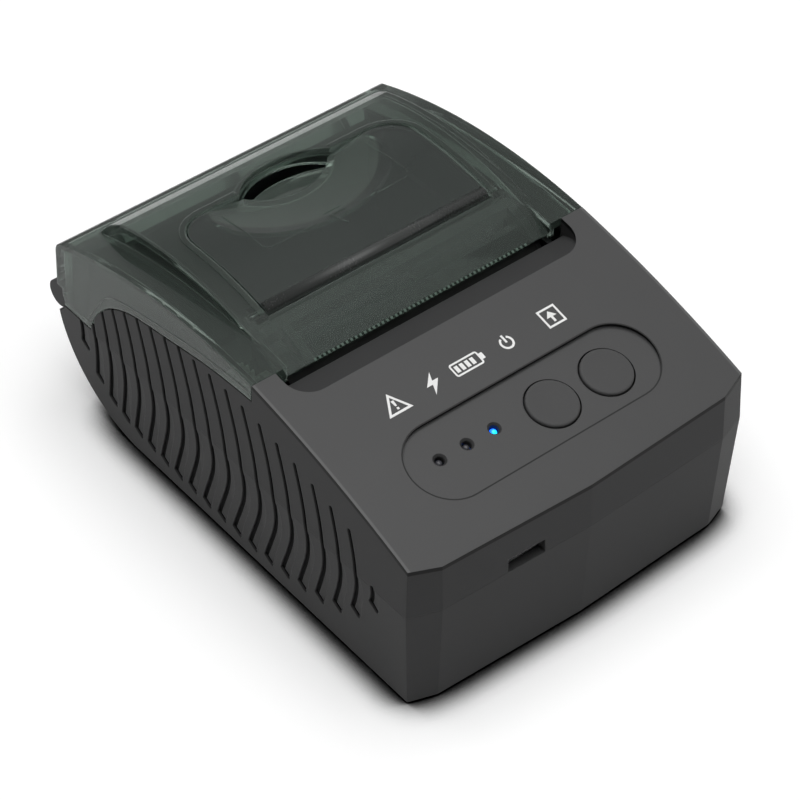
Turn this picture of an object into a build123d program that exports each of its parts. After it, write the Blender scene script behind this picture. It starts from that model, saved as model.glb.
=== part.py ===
from build123d import *
import os
from math import atan2, cos, degrees, pi, radians, sin, sqrt, tan

# A portable receipt printer. X runs across, the socket face looks toward -Y, the cover
# hinge is at +Y, and Z is up from the surface that the printer stands on. Millimetres.

# Casing
HALF_W = 38.5             # half width at the parting line
PART_Z = 23.4             # height of the line where the two casings meet
DRAFT = 2.6               # lean of the outer walls above and below that line, degrees
WALL = 1.8
DECK = 2.0                # thickness of the sloping control deck
BOTTOM_Z = 0.7            # underside of the lower casing, held up by the feet
CORNER_Y = -51.3          # where each side wall ends
CHAMFER_X = 32.3          # where the slanted front corner meets the front face
CHAMFER_Y = -53.4
NOSE_Y = -54.5            # ridge down the middle of the front face
REAR_Y = 51.1
REAR_R = 22.5             # round under the tail of the lower casing
GAP = 0.3                 # gap between pieces that move past each other
SEAT = 0.15               # gap between pieces that only sit in each other

# Curves of the top in side view, each a circle as (y, z, radius)
DECK_ARC = (21.9, -167.7, 214.67)
SHOULDER_ARC = (6.45, -75.14, 120.8)
ROOF_ARC = (18.6, -19.6, 68.0)

# Cover
COVER_T = 1.8
SEAM_Y = -8.5             # line where the deck stops and the cover starts
SIDE_EDGE = [(SEAM_Y, 41.4), (6.3, 40.1), (18.1, 38.0), (29.5, 35.4), (35.6, 31.6), (40.4, 23.7)]
COVER_REAR_Y = 51.0
REAR_EDGE_Z = 27.3        # lower edge of the cover's rear wall
STRIP_END = COVER_REAR_Y - COVER_T - 2.2  # rear end of the upper casing's side walls
RAIL_T = 1.2              # thickness of those walls behind the cover's side strip
SHELF_T = 1.4             # thickness of the shelves on top of them
BRIDGE_Z = 25.6           # top of the bar that ties the upper casing's sides at the rear
ROOF_HALF = 31.0          # half width of the raised roof
STEP_T = 1.1              # thickness of the steps at its sides
TEAR_Y = -8.1
TEAR_Z = 42.2
CREASE_Y = -3.9
LIP_T = 0.9               # thickness of the tear bar
TEAR_IN = 0.5             # how far the corners of the roof's inner skin stand in from the outer ones
CREASE_IN = 0.8
ROLL_IN = 0.9
MID_IN = 1.3
END_IN = 0.4
CARRIER_BAR_Y = (0.2, 2.0)  # cross bar of the bracket under the roof
CARRIER_ARM_X = (-24.6, 26.9)
CARRIER_ARM_W = 1.7
ROLL_Y = 39.7             # where the roof starts to roll down at the rear
ROLL_END = (47.0, 37.6)
ROLL_MID = (43.9, 41.95)
TEETH_X0 = -23.4
TEETH_X1 = 25.6
TEETH_PITCH = 1.0
TEETH_DEEP = 0.7

# Hinge
HINGE_Y = 51.8
HINGE_Z = 24.0
BARREL_R = 2.8
HINGE_PIN_R = 1.1
BARREL_OUT = 37.8
RIB_OUT = 36.5            # outer side of the rib under each barrel
PIN_END = 36.0
BARREL_IN = 30.4
KNUCKLE_IN = 22.0

# Exit trough in the deck
TROUGH_HALF = 32.5
TROUGH_FRONT = -15.7
TROUGH_END = -9.3
TROUGH_SLOPE = 21.0       # degrees below level
TROUGH_R = 5.0
TROUGH_T = 1.4
TROUGH_END_T = 0.9

# Control panel, a shallow pocket in the deck
PANEL_Y = -37.9
PANEL_Z = 37.85
PANEL_TILT = 13.9
PANEL_R = 7.9
PANEL_X0 = -18.6
PANEL_X1 = 20.0
PANEL_POSTS = [(-23.6, 4.0), (23.6, 4.0)]
BUTTON_X = {"power_button": 4.4, "feed_button": 17.0}
BUTTON_V = -0.6
BUTTON_R = 4.9
BUTTON_HOLE_R = 5.2
BUTTON_PROUD = 0.5
BUTTON_TRAVEL = 0.5
FLANGE_R = 5.9
FLANGE_T = 0.8
FLANGE_TOP = -2.5
LED_X = {"led_error": -19.6, "led_charge": -13.6, "led_power": -7.5}
LED_V = 0.9
LED_R = 0.75
LED_SINK_R = 1.3
LED_TOP = -0.7
PANEL_PCB_TOP = -7.5
PCB_T = 1.2
SWITCH_BODY = 6.0
SWITCH_H = 2.6

# Side grooves, counted from the rear
TOE_Z = [17.1, 11.0, 7.9, 6.3, 5.5, 4.9, 4.3, 4.0, 3.8, 3.6, 3.5, 3.5, 3.5, 3.9, 4.6, 5.4, 6.7, 8.9, 12.3, 18.3]
TOE_Y0 = 42.3             # toe of the rearmost groove
TOE_STEP = 3.64           # first step forward, and what each later step adds
TOE_GROW = 0.095
HEEL = (1.55, 1.1)        # from a groove's toe back and up to its heel
GROOVE_MID = -1.0         # where the grooves swing forward the most
GROOVE_STILL = 45.6       # distance from there at which they would run straight down
GROOVE_SWINGS = ((1.0, 4.15), (0.72, 4.45), (0.42, 2.85))  # share of the height, forward swing
HOLLOW_SWINGS = ((0.28, 1.75), (0.6, 3.9))
GROOVE_W = 0.95
GROOVE_DEEP = 0.55
GROOVE_DROP = 7.2         # distance of the upper ends below the top
HOLLOW_W = 2.0            # width and depth of the faint hollow in front of each groove
HOLLOW_DEEP = 0.2

# Paper roll and its bin
ROLL_CY = 21.6
ROLL_CZ = 25.2
BIN_R = 21.0
BIN_HALF = 29.3
BIN_T = 1.2
BIN_FRONT_TOP = 30.0
BIN_REAR_TOP = 36.0

# Battery, its bay and door, and the feet
BATTERY = (52.0, 38.0, 11.0)
BATTERY_CY = -27.0
BATTERY_GAP = 0.5
DOOR_T = 1.5
DOOR_PIN_R = 0.45
DOOR_PIN_LONG = 1.5
BAY_ROOF = 1.0
BAY_X = BATTERY[0] / 2 + BATTERY_GAP
BAY_Y0 = BATTERY_CY - BATTERY[1] / 2 - BATTERY_GAP
BAY_Y1 = BATTERY_CY + BATTERY[1] / 2 + BATTERY_GAP
BATTERY_Z0 = BOTTOM_Z + DOOR_T + GAP
BAY_TOP = BATTERY_Z0 + BATTERY[2] + GAP
DOOR_PIN_Y = BAY_Y1 - GAP - DOOR_T / 2
DOOR_PIN_Z = BOTTOM_Z + DOOR_T / 2
CONTACT_X = (-16.0, -11.0, -6.0)
FEET_XY = [(x, y) for x in (-31.8, 31.8) for y in (-32.0, 21.0)]
FOOT_R = 4.2
FOOT_SUNK = 0.6
BOSS_XY = [(x, y) for x in (-33.2, 33.2) for y in (-43.5, 12.0)]
BOSS_R = 2.6
SCREW_R = 1.0
SCREW_HEAD_R = 1.9
SCREW_HEAD_Z = 6.0
SCREW_LONG = 22.0

# Print mechanism
MODULE = 0.5
PLATEN_Y = -3.4
PLATEN_Z = 36.3
PLATEN_R = 4.4
PLATEN_HALF = 28.4
SHAFT_R = 1.5
BUSH_R = 2.5
RUN = 0.05                # radial clearance of a running shaft
CHEEK_IN = 30.1
CHEEK_T = 1.1
PLATEN_TEETH = 22
IDLER_BIG = 25
IDLER_SMALL = 13
PINION_TEETH = 12
SHAFT_END = 32.0          # right end of the platen shaft
GEAR_B_X = (-35.4, -33.7)  # plane of the platen gear
GEAR_A_X = (-33.3, -31.6)  # plane of the motor pinion
IDLER_PIN_R = 1.0
MOTOR_R = 7.5
MOTOR_LONG = 10.4
MOTOR_SHAFT_R = 0.75
MOTOR_ANGLE = 200.0
CHEEK_TOP = 39.6
FRAME_Z0 = BAY_TOP + BAY_ROOF
FRAME_T = 1.2
FRAME_FRONT = -21.9
FRAME_REAR = -0.9
FRAME_SCREW_XY = [(x, y) for x in (-28.5, 28.5) for y in (-20.2, -3.5)]
FRAME_SCREW_R = 0.8
FRAME_SCREW_LONG = 7.0
FRAME_POST_R = 1.9
HEAD_WALL_Y = -14.9
HEAD_FACE_Y = -8.1
HEAD_Z0 = 32.0
HEAD_Z1 = 39.5
HEAD_HALF = 28.8
CERAMIC_T = 0.9
SINK_T = 1.5
HEAD_PIVOT = (-11.7, 33.4)
HEAD_ROD_R = 0.9
HEAD_LUG_X = (-12.0, 24.0)
HEAD_SPRING_X = (-16.0, 0.0, 16.0)
HEAD_SPRING_Z = 37.0
HEAD_CABLE_X = (2.0, 20.0)
SPRING_WIRE = 0.45

# Release lever in the roof
LEVER_HALF = 25.3
LEVER_REAR = 30.7
LEVER_T = 1.6
LEVER_CORNER = 6.5
LEVER_GAP = 0.35
LEVER_PIVOT = (4.6, 44.9)
BAR_R = 1.9
LEVER_PIN_R = 0.7
LEVER_SPRING_X = (-20.0, 20.0)
LEVER_WIRE = 0.3
SPRING_BORE_R = 1.35
SCOOP_R = 13.7            # finger bay in the roof behind the lever
SCOOP_REAR = 35.9
DISH_R = 20.7             # hollow in the lever's rear half
DISH_FRONT = 16.1
DISH_DEEP = 2.6
TAB_CREASE = (39.1, 12.8)  # the tab lies between two arcs, each as (centre y, radius)
TAB_LIP = (17.9, 15.4)
TAB_TOP = 45.3
TAB_FALL = 0.27           # slope of the tab toward the rear
TAB_T = 1.3

# Electronics and the socket
PCB_TOP = 23.4
PEG_R = 0.8               # pegs that the boards are staked on
PEG_XY = [(x, y) for x in (-29.0, 29.0) for y in (-47.6, -28.0)]
PCB_FRONT = -49.4
PCB_REAR = FRAME_FRONT - 1.2
CHIPS = [(0, -37, 7, 7, 0.9), (14, -35, 9, 5, 1.1), (22, -42, 4, 4, 1.6), (-14, -33, 5, 6, 1.4),
         (-23, -36, 4.5, 9, 3.0), (8, -45, 3, 2, 0.8), (23, -33, 5, 7, 3.2)]  # x, y, width, depth, height
USB_X = -14.25
USB_W = 7.5
USB_H = 2.6
USB_LONG = 5.6
USB_MOUTH_Y = -52.3


# Small makers of solids

def box(x0, x1, y0, y1, z0, z1):
    return Pos((x0 + x1) / 2, (y0 + y1) / 2, (z0 + z1) / 2) * Box(x1 - x0, y1 - y0, z1 - z0)


def rod(x0, x1, y, z, r):
    return Pos((x0 + x1) / 2, y, z) * Rot(0, 90, 0) * Cylinder(r, x1 - x0)


def post(x, y, z0, z1, r):
    return Pos(x, y, (z0 + z1) / 2) * Cylinder(r, z1 - z0)


def tube(x0, x1, y, z, r, bore):
    return rod(x0, x1, y, z, r) - rod(x0 - 1, x1 + 1, y, z, bore)


def grown(arc, d):
    return (arc[0], arc[1], arc[2] + d)


def arc_z(arc, y):
    return arc[1] + sqrt(arc[2] ** 2 - (y - arc[0]) ** 2)


def arc_edge(arc, y0, y1):
    ym = (y0 + y1) / 2
    return ThreePointArc((y0, arc_z(arc, y0)), (ym, arc_z(arc, ym)), (y1, arc_z(arc, y1)))


def across(face, x0, x1):
    return extrude(Plane.YZ.offset(x0) * face, amount=x1 - x0, dir=(1, 0, 0))


def side_face(points, *curves):
    """A side-view face: straight edges through points, closed by curves given in order."""
    edges = [Line(a, b) for a, b in zip(points, points[1:])]
    return make_face(edges + list(curves))


def under(arc, y0, y1, z0, x0, x1):
    """Everything between two planes that lies below an arc and above z0."""
    ends = [(y0, arc_z(arc, y0)), (y0, z0), (y1, z0), (y1, arc_z(arc, y1))]
    return across(side_face(ends, arc_edge(arc, y0, y1)), x0, x1)


def both(solid):
    return solid + mirror(solid, about=Plane.YZ)


# Casing blocks

def plan(inset):
    far = REAR_Y + 20
    right = [(0, NOSE_Y), (CHAMFER_X, CHAMFER_Y), (HALF_W, CORNER_Y), (HALF_W, far)]
    left = [(-x, y) for x, y in reversed(right[1:])]
    face = make_face(Polyline(*right, *left, close=True))
    return offset(face, amount=-inset, kind=Kind.INTERSECTION) if inset else face


def drafted(inset, height):
    """Casing block that leans in away from the parting line, upward or downward."""
    way = 1 if height > 0 else -1
    base = Plane.XY.offset(PART_Z) * plan(inset)
    return extrude(base, amount=abs(height), dir=(0, 0, way), taper=DRAFT)


def lower_block(inset):
    z0 = BOTTOM_Z + inset
    r = REAR_R - inset
    cy = REAR_Y - REAR_R
    cz = BOTTOM_Z + REAR_R
    rear = cy + r
    low = -60
    points = [(rear, cz), (rear, PART_Z + 1), (low, PART_Z + 1), (low, z0), (cy, z0)]
    s = sqrt(0.5)
    face = side_face(points, ThreePointArc((cy, z0), (cy + r * s, cz - r * s), (rear, cz)))
    return drafted(inset, BOTTOM_Z - PART_Z) & across(face, -HALF_W - 5, HALF_W + 5)


def shoulder_block(inset):
    """Space inside the cover's lower shell, open at the front."""
    arc = grown(SHOULDER_ARC, -inset)
    rear = COVER_REAR_Y - inset
    front = SEAM_Y + SEAT if inset == 0 else SEAM_Y - 10
    corner = 2.2 if inset == 0 else 1.0
    turn = rear - corner
    top = arc_z(arc, turn)
    drop = top - corner * 1.25
    mid = (rear - corner * 0.3, top - corner * 0.42)
    points = [(rear, drop), (rear, 18), (front, 18), (front, arc_z(arc, front))]
    face = side_face(points, arc_edge(arc, front, turn), ThreePointArc((turn, top), mid, (rear, drop)))
    return drafted(inset, 40) & across(face, -HALF_W - 5, HALF_W + 5)


def below_side_edge(lift):
    """Everything lower than the cover's side edge, raised by lift."""
    edge = [(y, z + lift) for y, z in SIDE_EDGE]
    far = REAR_Y + 20
    near = SEAM_Y - 1
    points = [edge[-1], (far, edge[-1][1]), (far, 0), (near, 0), (near, edge[0][1]), edge[0]]
    return across(side_face(points, Spline(*edge)), -HALF_W - 5, HALF_W + 5)


# Side grooves: each runs down in an S to its heel, then turns forward to its toe

def groove_toe(i):
    return TOE_Y0 - TOE_STEP * i - TOE_GROW * i * (i - 1) / 2, TOE_Z[i]


def groove_top(y):
    """Upper end of a groove, under the deck's edge or tucked under the cover's side."""
    arc = SHOULDER_ARC if y > SEAM_Y else DECK_ARC
    return arc_z(arc, y) - GROOVE_DROP


def swung(y, z, points):
    """Points on a groove with its toe at y and z, each given as share of height and swing."""
    swing = 1 - ((y - GROOVE_MID) / GROOVE_STILL) ** 2
    return [(y + HEEL[0] - d * swing, z + (PART_Z - z) * f) for f, d in points]


def groove_line(y, z, top):
    """Points along a groove from its top to its heel."""
    lower = swung(y, z, GROOVE_SWINGS)
    rise = top - PART_Z
    upper = [(lower[0][0] + 0.115 * t ** 1.36, PART_Z + t) for t in (rise, 0.66 * rise, 0.33 * rise) if t > 0]
    return upper + lower + [(y + HEEL[0], z + HEEL[1])]


def groove_ribbon(line):
    w = GROOVE_W / 2
    front = [(a - w, b) for a, b in line]
    back = [(a + w, b) for a, b in reversed(line)]
    high = ThreePointArc(back[-1], (line[0][0], line[0][1] + w), front[0])
    low = ThreePointArc(front[-1], (line[-1][0], line[-1][1] - w), back[0])
    return make_face([Spline(*front), low, Spline(*back), high])


def groove_kick(y, z):
    """Short slot from a groove's heel to its toe."""
    run, drop = HEEL
    slot = SlotCenterToCenter(sqrt(run ** 2 + drop ** 2), GROOVE_W)
    return Pos(y + run / 2, z + drop / 2) * Rot(0, 0, degrees(atan2(drop, run))) * slot


def groove_hollow(y, z):
    """Crescent in front of a groove's lower half, from the parting line to its toe."""
    lower = groove_line(y, z, PART_Z)
    toe, tip = (y, z), (y - 0.9, z + 0.07 * (PART_Z - z))
    bulge = [(a - HOLLOW_W, b) for a, b in swung(y, z, HOLLOW_SWINGS)]
    front = Spline(tip, *bulge, lower[0])
    return make_face([Spline(*lower), Line(lower[-1], toe), Line(toe, tip), front])


def hollow_wedge(y):
    """Slanting floor of a hollow: deepest at the groove and flush with the wall in front."""
    x = HALF_W
    edge = groove_line(y, 0, PART_Z)[1][0]
    outline = Polyline((x, edge - HOLLOW_W), (x - HOLLOW_DEEP, edge), (x - HOLLOW_DEEP, y + 3),
                       (x + 3, y + 3), (x + 3, edge - HOLLOW_W), close=True)
    lean = (-tan(radians(DRAFT)), 0, -1)
    return extrude(Plane.XY.offset(PART_Z) * make_face(outline), amount=PART_Z, dir=lean)


def grooves():
    """Cutters for the upper and the lower casing, both sides."""
    skin_up = drafted(-1.0, 30) - drafted(GROOVE_DEEP, 30)
    skin_down = drafted(-1.0, -30) - drafted(GROOVE_DEEP, -30)
    span = (HALF_W - 4, HALF_W + 4)
    bars = []
    hollows = []
    for i in range(len(TOE_Z)):
        y, z = groove_toe(i)
        ends_low = i in (0, len(TOE_Z) - 1)
        top = PART_Z if ends_low else groove_top(y + HEEL[0])
        bars.append(across(groove_ribbon(groove_line(y, z, top)), *span))
        bars.append(across(groove_kick(y, z), *span))
        hollows.append(across(groove_hollow(y, z), *span) & hollow_wedge(y))
    bars = Part() + bars
    upper = bars & skin_up
    lower = (bars & skin_down) + hollows
    return both(upper), both(lower)


# Panel frame: local X across, local Y up the slope, local Z out of the panel

PANEL = Plane(origin=(0, PANEL_Y, PANEL_Z), x_dir=(1, 0, 0),
              z_dir=(0, -sin(radians(PANEL_TILT)), cos(radians(PANEL_TILT))))


def on_panel(solid):
    return PANEL * solid


def stub(x, v, z0, z1, r):
    return Pos(x, v, (z0 + z1) / 2) * Cylinder(r, z1 - z0)


def panel_pocket():
    length = PANEL_X1 - PANEL_X0
    centre = (PANEL_X0 + PANEL_X1) / 2
    outline = Pos(centre, 0) * SlotCenterToCenter(length, 2 * PANEL_R)
    return on_panel(extrude(outline, amount=5))


def panel_holes():
    holes = [stub(x, BUTTON_V, -6, 3, BUTTON_HOLE_R) for x in BUTTON_X.values()]
    for x in LED_X.values():
        holes.append(stub(x, LED_V, -6, 3, LED_R + SEAT))
        sink = LED_SINK_R - LED_R - SEAT
        holes.append(Pos(x, LED_V, -sink / 2) * Cone(LED_R + SEAT, LED_SINK_R, sink))
    return on_panel(Part() + holes)


# Trough where the paper comes out

def trough_floor_z(y):
    return arc_z(DECK_ARC, TROUGH_FRONT) - (y - TROUGH_FRONT) * tan(radians(TROUGH_SLOPE))


def trough_plan(half, front, rear, r):
    block = box(-half, half, front, rear, 30, 60)
    corners = block.edges().filter_by(Axis.Z).group_by(Axis.Y)[0]
    return fillet(corners, r)


def trough_cut():
    rear = SEAM_Y + 1
    plan_block = trough_plan(TROUGH_HALF, TROUGH_FRONT, rear, TROUGH_R)
    z0 = trough_floor_z(TROUGH_FRONT)
    z1 = trough_floor_z(TROUGH_END)
    points = [(TROUGH_FRONT, 60), (TROUGH_FRONT, z0), (TROUGH_END, z1), (TROUGH_END, 30), (rear, 30),
              (rear, 60), (TROUGH_FRONT, 60)]
    return plan_block & across(side_face(points), -TROUGH_HALF, TROUGH_HALF)


def trough_shell():
    """Wall under the trough and round its ends, hung from the deck."""
    t = TROUGH_T
    z0 = trough_floor_z(TROUGH_FRONT)
    z1 = trough_floor_z(TROUGH_END)
    top = arc_z(DECK_ARC, TROUGH_FRONT) - 0.5
    points = [(TROUGH_FRONT - 2 * t, top), (TROUGH_FRONT - 2 * t, z0 - t), (TROUGH_END, z1 - t),
              (TROUGH_END, z1 + 3), (TROUGH_FRONT, top), (TROUGH_FRONT - 2 * t, top)]
    half = TROUGH_HALF + TROUGH_END_T
    floor = across(side_face(points), -half, half)
    end_points = [(TROUGH_FRONT, top), (TROUGH_FRONT, z0 - t), (SEAM_Y, trough_floor_z(SEAM_Y) - t),
                  (SEAM_Y, arc_z(DECK_ARC, SEAM_Y) - 0.5), (TROUGH_FRONT, top)]
    end = across(side_face(end_points), TROUGH_HALF, TROUGH_HALF + TROUGH_END_T)
    return floor + both(end)


# Upper casing

def upper_case():
    full = drafted(0, 40)
    hollow = drafted(WALL, 40)
    wide = HALF_W + 5
    deck = under(DECK_ARC, -60, SEAM_Y, PART_Z, -wide, wide)
    deck_in = under(grown(DECK_ARC, -DECK), -60, SEAM_Y + 1, PART_Z - 1, -wide, wide)
    body = (full & deck) - (hollow & deck_in)
    body += trough_shell() & full & deck
    body -= trough_cut()

    # Rear walls: flush below the cover's edge, and stepped in behind the cover's side strip
    front = SEAM_Y - 0.01
    zone = box(-wide, wide, front, STRIP_END, PART_Z, 60)
    step = COVER_T + GAP
    flush = (full & zone) & below_side_edge(-GAP)
    inner_top = under(grown(SHOULDER_ARC, -step), front, STRIP_END, PART_Z, -wide, wide)
    stepped = drafted(step, 40) & zone & inner_top
    room = box(-wide, wide, SEAM_Y - 1, STRIP_END - SHELF_T, PART_Z - 1, 60)
    below_shelf = under(grown(SHOULDER_ARC, -step - SHELF_T), SEAM_Y - 1, STRIP_END, 0, -wide, wide)
    rear_hollow = drafted(step + RAIL_T, 40) & room & below_shelf
    flush_hollow = drafted(WALL, 40) & room
    flush_hollow = flush_hollow & below_side_edge(-GAP - WALL)
    rear = (flush + stepped) - rear_hollow - flush_hollow
    well_half = BIN_HALF + BIN_T + SEAT
    rear -= box(-well_half, well_half, SEAM_Y - 1, STRIP_END + 1, PART_Z - 1, 60)
    rear += box(-well_half - 0.5, well_half + 0.5, STRIP_END - SHELF_T, STRIP_END, PART_Z, BRIDGE_Z)
    # Room for the inner corners of the raised roof
    roof_out = ROOF_HALF + GAP
    rear -= box(-roof_out, roof_out, SEAM_Y - 1, STRIP_END + 1, BRIDGE_Z + 4, 60)
    body += rear

    # Slot in the left shelf that the platen gear lifts through, and one for the right bush
    slot_x = GEAR_B_X[0] - GAP - 0.1
    slot_rear = PLATEN_Y + MODULE * (PLATEN_TEETH / 2 + 1) + 1.8
    body -= box(slot_x, -well_half + 1, front, slot_rear, BIN_FRONT_TOP, 60)
    body -= box(well_half - 1, SHAFT_END + 1, front, PLATEN_Y + 4.5, BIN_FRONT_TOP, 60)

    body -= panel_pocket()
    body -= panel_holes()

    # Screw bosses under the deck and under the shelves
    for x, y in BOSS_XY:
        boss_top = arc_z(DECK_ARC, y) - 1 if y < SEAM_Y else arc_z(SHOULDER_ARC, y) - step - 1
        body += post(x, y, PART_Z, boss_top, BOSS_R) & drafted(1, 40)
        body -= post(x, y, PART_Z - 1, SCREW_HEAD_Z + SCREW_LONG + 1, SCREW_R)

    # Posts that carry the panel board, with pegs through its holes
    for x, v in PANEL_POSTS:
        body += on_panel(stub(x, v, PANEL_PCB_TOP, -0.6, PEG_R + 0.8))
        body += on_panel(stub(x, v, PANEL_PCB_TOP - PCB_T - 0.5, PANEL_PCB_TOP, PEG_R))

    body -= box(USB_X - 4, USB_X + 4, -60, CORNER_Y + 3, PART_Z - 1, PART_Z + 2.9)
    return body - grooves_up


# Lower casing

def barrels():
    """Two fixed barrels of the cover's hinge, each on a rib behind the rear wall."""
    barrel = rod(BARREL_IN, BARREL_OUT, HINGE_Y, HINGE_Z, BARREL_R)
    rib = box(BARREL_IN, RIB_OUT, REAR_Y - WALL, HINGE_Y, HINGE_Z - BARREL_R - 2, HINGE_Z - 0.6)
    return both(barrel + (rib & lower_block(-0.6)))


def lower_case():
    body = lower_block(0) - lower_block(WALL)
    floor = BOTTOM_Z + WALL
    body += box(-BAY_X - 1.2, BAY_X + 1.2, BAY_Y0 - 1.2, BAY_Y1 + 1.2, floor - 0.1, BAY_TOP + BAY_ROOF)
    body -= box(-BAY_X, BAY_X, BAY_Y0, BAY_Y1, BOTTOM_Z - 1, BAY_TOP)
    body -= rod(-BAY_X - DOOR_PIN_LONG, BAY_X + DOOR_PIN_LONG, DOOR_PIN_Y, DOOR_PIN_Z, DOOR_PIN_R + RUN)

    # The casing is cut back round the barrels, and between them, where the cover's eyes turn
    body -= both(rod(BARREL_IN, HALF_W + 1, HINGE_Y, HINGE_Z, BARREL_R + GAP))
    body += barrels()
    body -= rod(-BARREL_IN, BARREL_IN, HINGE_Y, HINGE_Z, BARREL_R + GAP)
    body -= rod(-PIN_END, PIN_END, HINGE_Y, HINGE_Z, HINGE_PIN_R)

    for x, y in BOSS_XY:
        body += post(x, y, BOTTOM_Z + 0.3, PART_Z - GAP, BOSS_R) & lower_block(0.3)
        body -= post(x, y, BOTTOM_Z - 1, SCREW_HEAD_Z, SCREW_HEAD_R + 0.25)
        body -= post(x, y, SCREW_HEAD_Z - 1, PART_Z + 1, SCREW_R + 0.1)
    for x, y in FEET_XY:
        body += post(x, y, floor - 0.5, floor + 0.3, FOOT_R + 1)
        body -= post(x, y, BOTTOM_Z - 1, BOTTOM_Z + FOOT_SUNK, FOOT_R)
    for x, y in PEG_XY:
        body += post(x, y, floor - 0.1, PCB_TOP - PCB_T, PEG_R + 1.2)
        body += post(x, y, PCB_TOP - PCB_T, PCB_TOP + 0.6, PEG_R)
    for x, y in FRAME_SCREW_XY:
        body += post(x, y, floor - 0.1, FRAME_Z0, FRAME_POST_R)
        body -= post(x, y, FRAME_Z0 - FRAME_SCREW_LONG - 1, FRAME_Z0 + 1, FRAME_SCREW_R)

    # Ribs that cradle the paper bin
    for x in (-20.0, 20.0):
        body += box(x - 0.8, x + 0.8, ROLL_CY - 12, ROLL_CY + 12, floor - 0.1, floor + 4)
    body -= rod(-BIN_HALF - BIN_T - SEAT, BIN_HALF + BIN_T + SEAT, ROLL_CY, ROLL_CZ, BIN_R + BIN_T + RUN)
    return body - grooves_down


# Cover

def roof_skin(deep):
    """The roof's arc and its corners in side view, for the outer skin or one that deep inside."""
    arc = grown(ROOF_ARC, -deep)
    k = 1 if deep else 0
    y0 = CREASE_Y + k * CREASE_IN
    y1 = ROLL_Y - k * ROLL_IN
    mid = (ROLL_MID[0] - k * MID_IN, ROLL_MID[1] - k * MID_IN)
    end = (ROLL_END[0] - deep, ROLL_END[1] - k * END_IN)
    return arc, (y0, arc_z(arc, y0)), (y1, arc_z(arc, y1)), mid, end


def roof_section():
    tear = (TEAR_Y, TEAR_Z)
    tear_in = (TEAR_Y + TEAR_IN, TEAR_Z - LIP_T)
    outer, crease, roll, mid, end = roof_skin(0)
    inner, crease_in, roll_in, mid_in, end_in = roof_skin(COVER_T)
    edges = [Line(tear, crease), arc_edge(outer, crease[0], roll[0]), ThreePointArc(roll, mid, end),
             Line(end, end_in), ThreePointArc(end_in, mid_in, roll_in),
             arc_edge(inner, crease_in[0], roll_in[0]), Line(crease_in, tear_in), Line(tear_in, tear)]
    return make_face(edges)


def roof_fill(deep):
    """Side face under the roof: the outer skin, or the inner one when deep is the wall."""
    arc, crease, roll, mid, end = roof_skin(deep)
    low = 20
    if deep:
        lip = (TEAR_Y + TEAR_IN, TEAR_Z - LIP_T)
        front = [(TEAR_Y - 8, low), (TEAR_Y - 8, lip[1]), lip, crease]
    else:
        front = [(TEAR_Y, low), (TEAR_Y, TEAR_Z), crease]
    points = [end, (end[0], low)] + front
    return side_face(points, arc_edge(arc, crease[0], roll[0]), ThreePointArc(roll, mid, end))


def lever_plan(grow):
    """Outline of the lever from above, grown for the opening that it sits in."""
    half = LEVER_HALF + grow
    front = LEVER_PIVOT[0] - BAR_R - grow
    rear = LEVER_REAR + grow
    block = box(-half, half, front, rear, 38, 55)
    corners = block.edges().filter_by(Axis.Z).group_by(Axis.Y)[-1]
    return fillet(corners, LEVER_CORNER + grow)


def scoop(grow):
    return post(0, SCOOP_REAR - SCOOP_R, 38, 55, SCOOP_R + grow)


def tear_teeth():
    """Row of teeth along the tear bar, cut as notches."""
    n = int((TEETH_X1 - TEETH_X0) / TEETH_PITCH)
    notches = []
    for i in range(n):
        x = TEETH_X0 + (i + 0.5) * TEETH_PITCH
        w = TEETH_PITCH * 0.42
        tri = make_face(Polyline((x - w, -0.3), (x + w, -0.3), (x, TEETH_DEEP), close=True))
        notch = extrude(Plane((0, TEAR_Y, 40)) * tri, amount=4)
        notches.append(notch)
    return notches


def knuckle(x0, x1):
    """One eye of the cover round the hinge pin, with a half-moon rib that stiffens its root."""
    eye = rod(x0, x1, HINGE_Y, HINGE_Z, BARREL_R - 0.2)
    web = box(x0, x1, COVER_REAR_Y - COVER_T, COVER_REAR_Y, HINGE_Z, REAR_EDGE_Z + 2)
    rib_y = COVER_REAR_Y - COVER_T
    rib_z = REAR_EDGE_Z + 4.5
    mid = (x0 + x1) / 2
    rib = rod(mid - 0.7, mid + 0.7, rib_y, rib_z, 4.4) & box(x0, x1, rib_y - 5, rib_y + 0.4, 20, 50)
    return eye + web + rib


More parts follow.
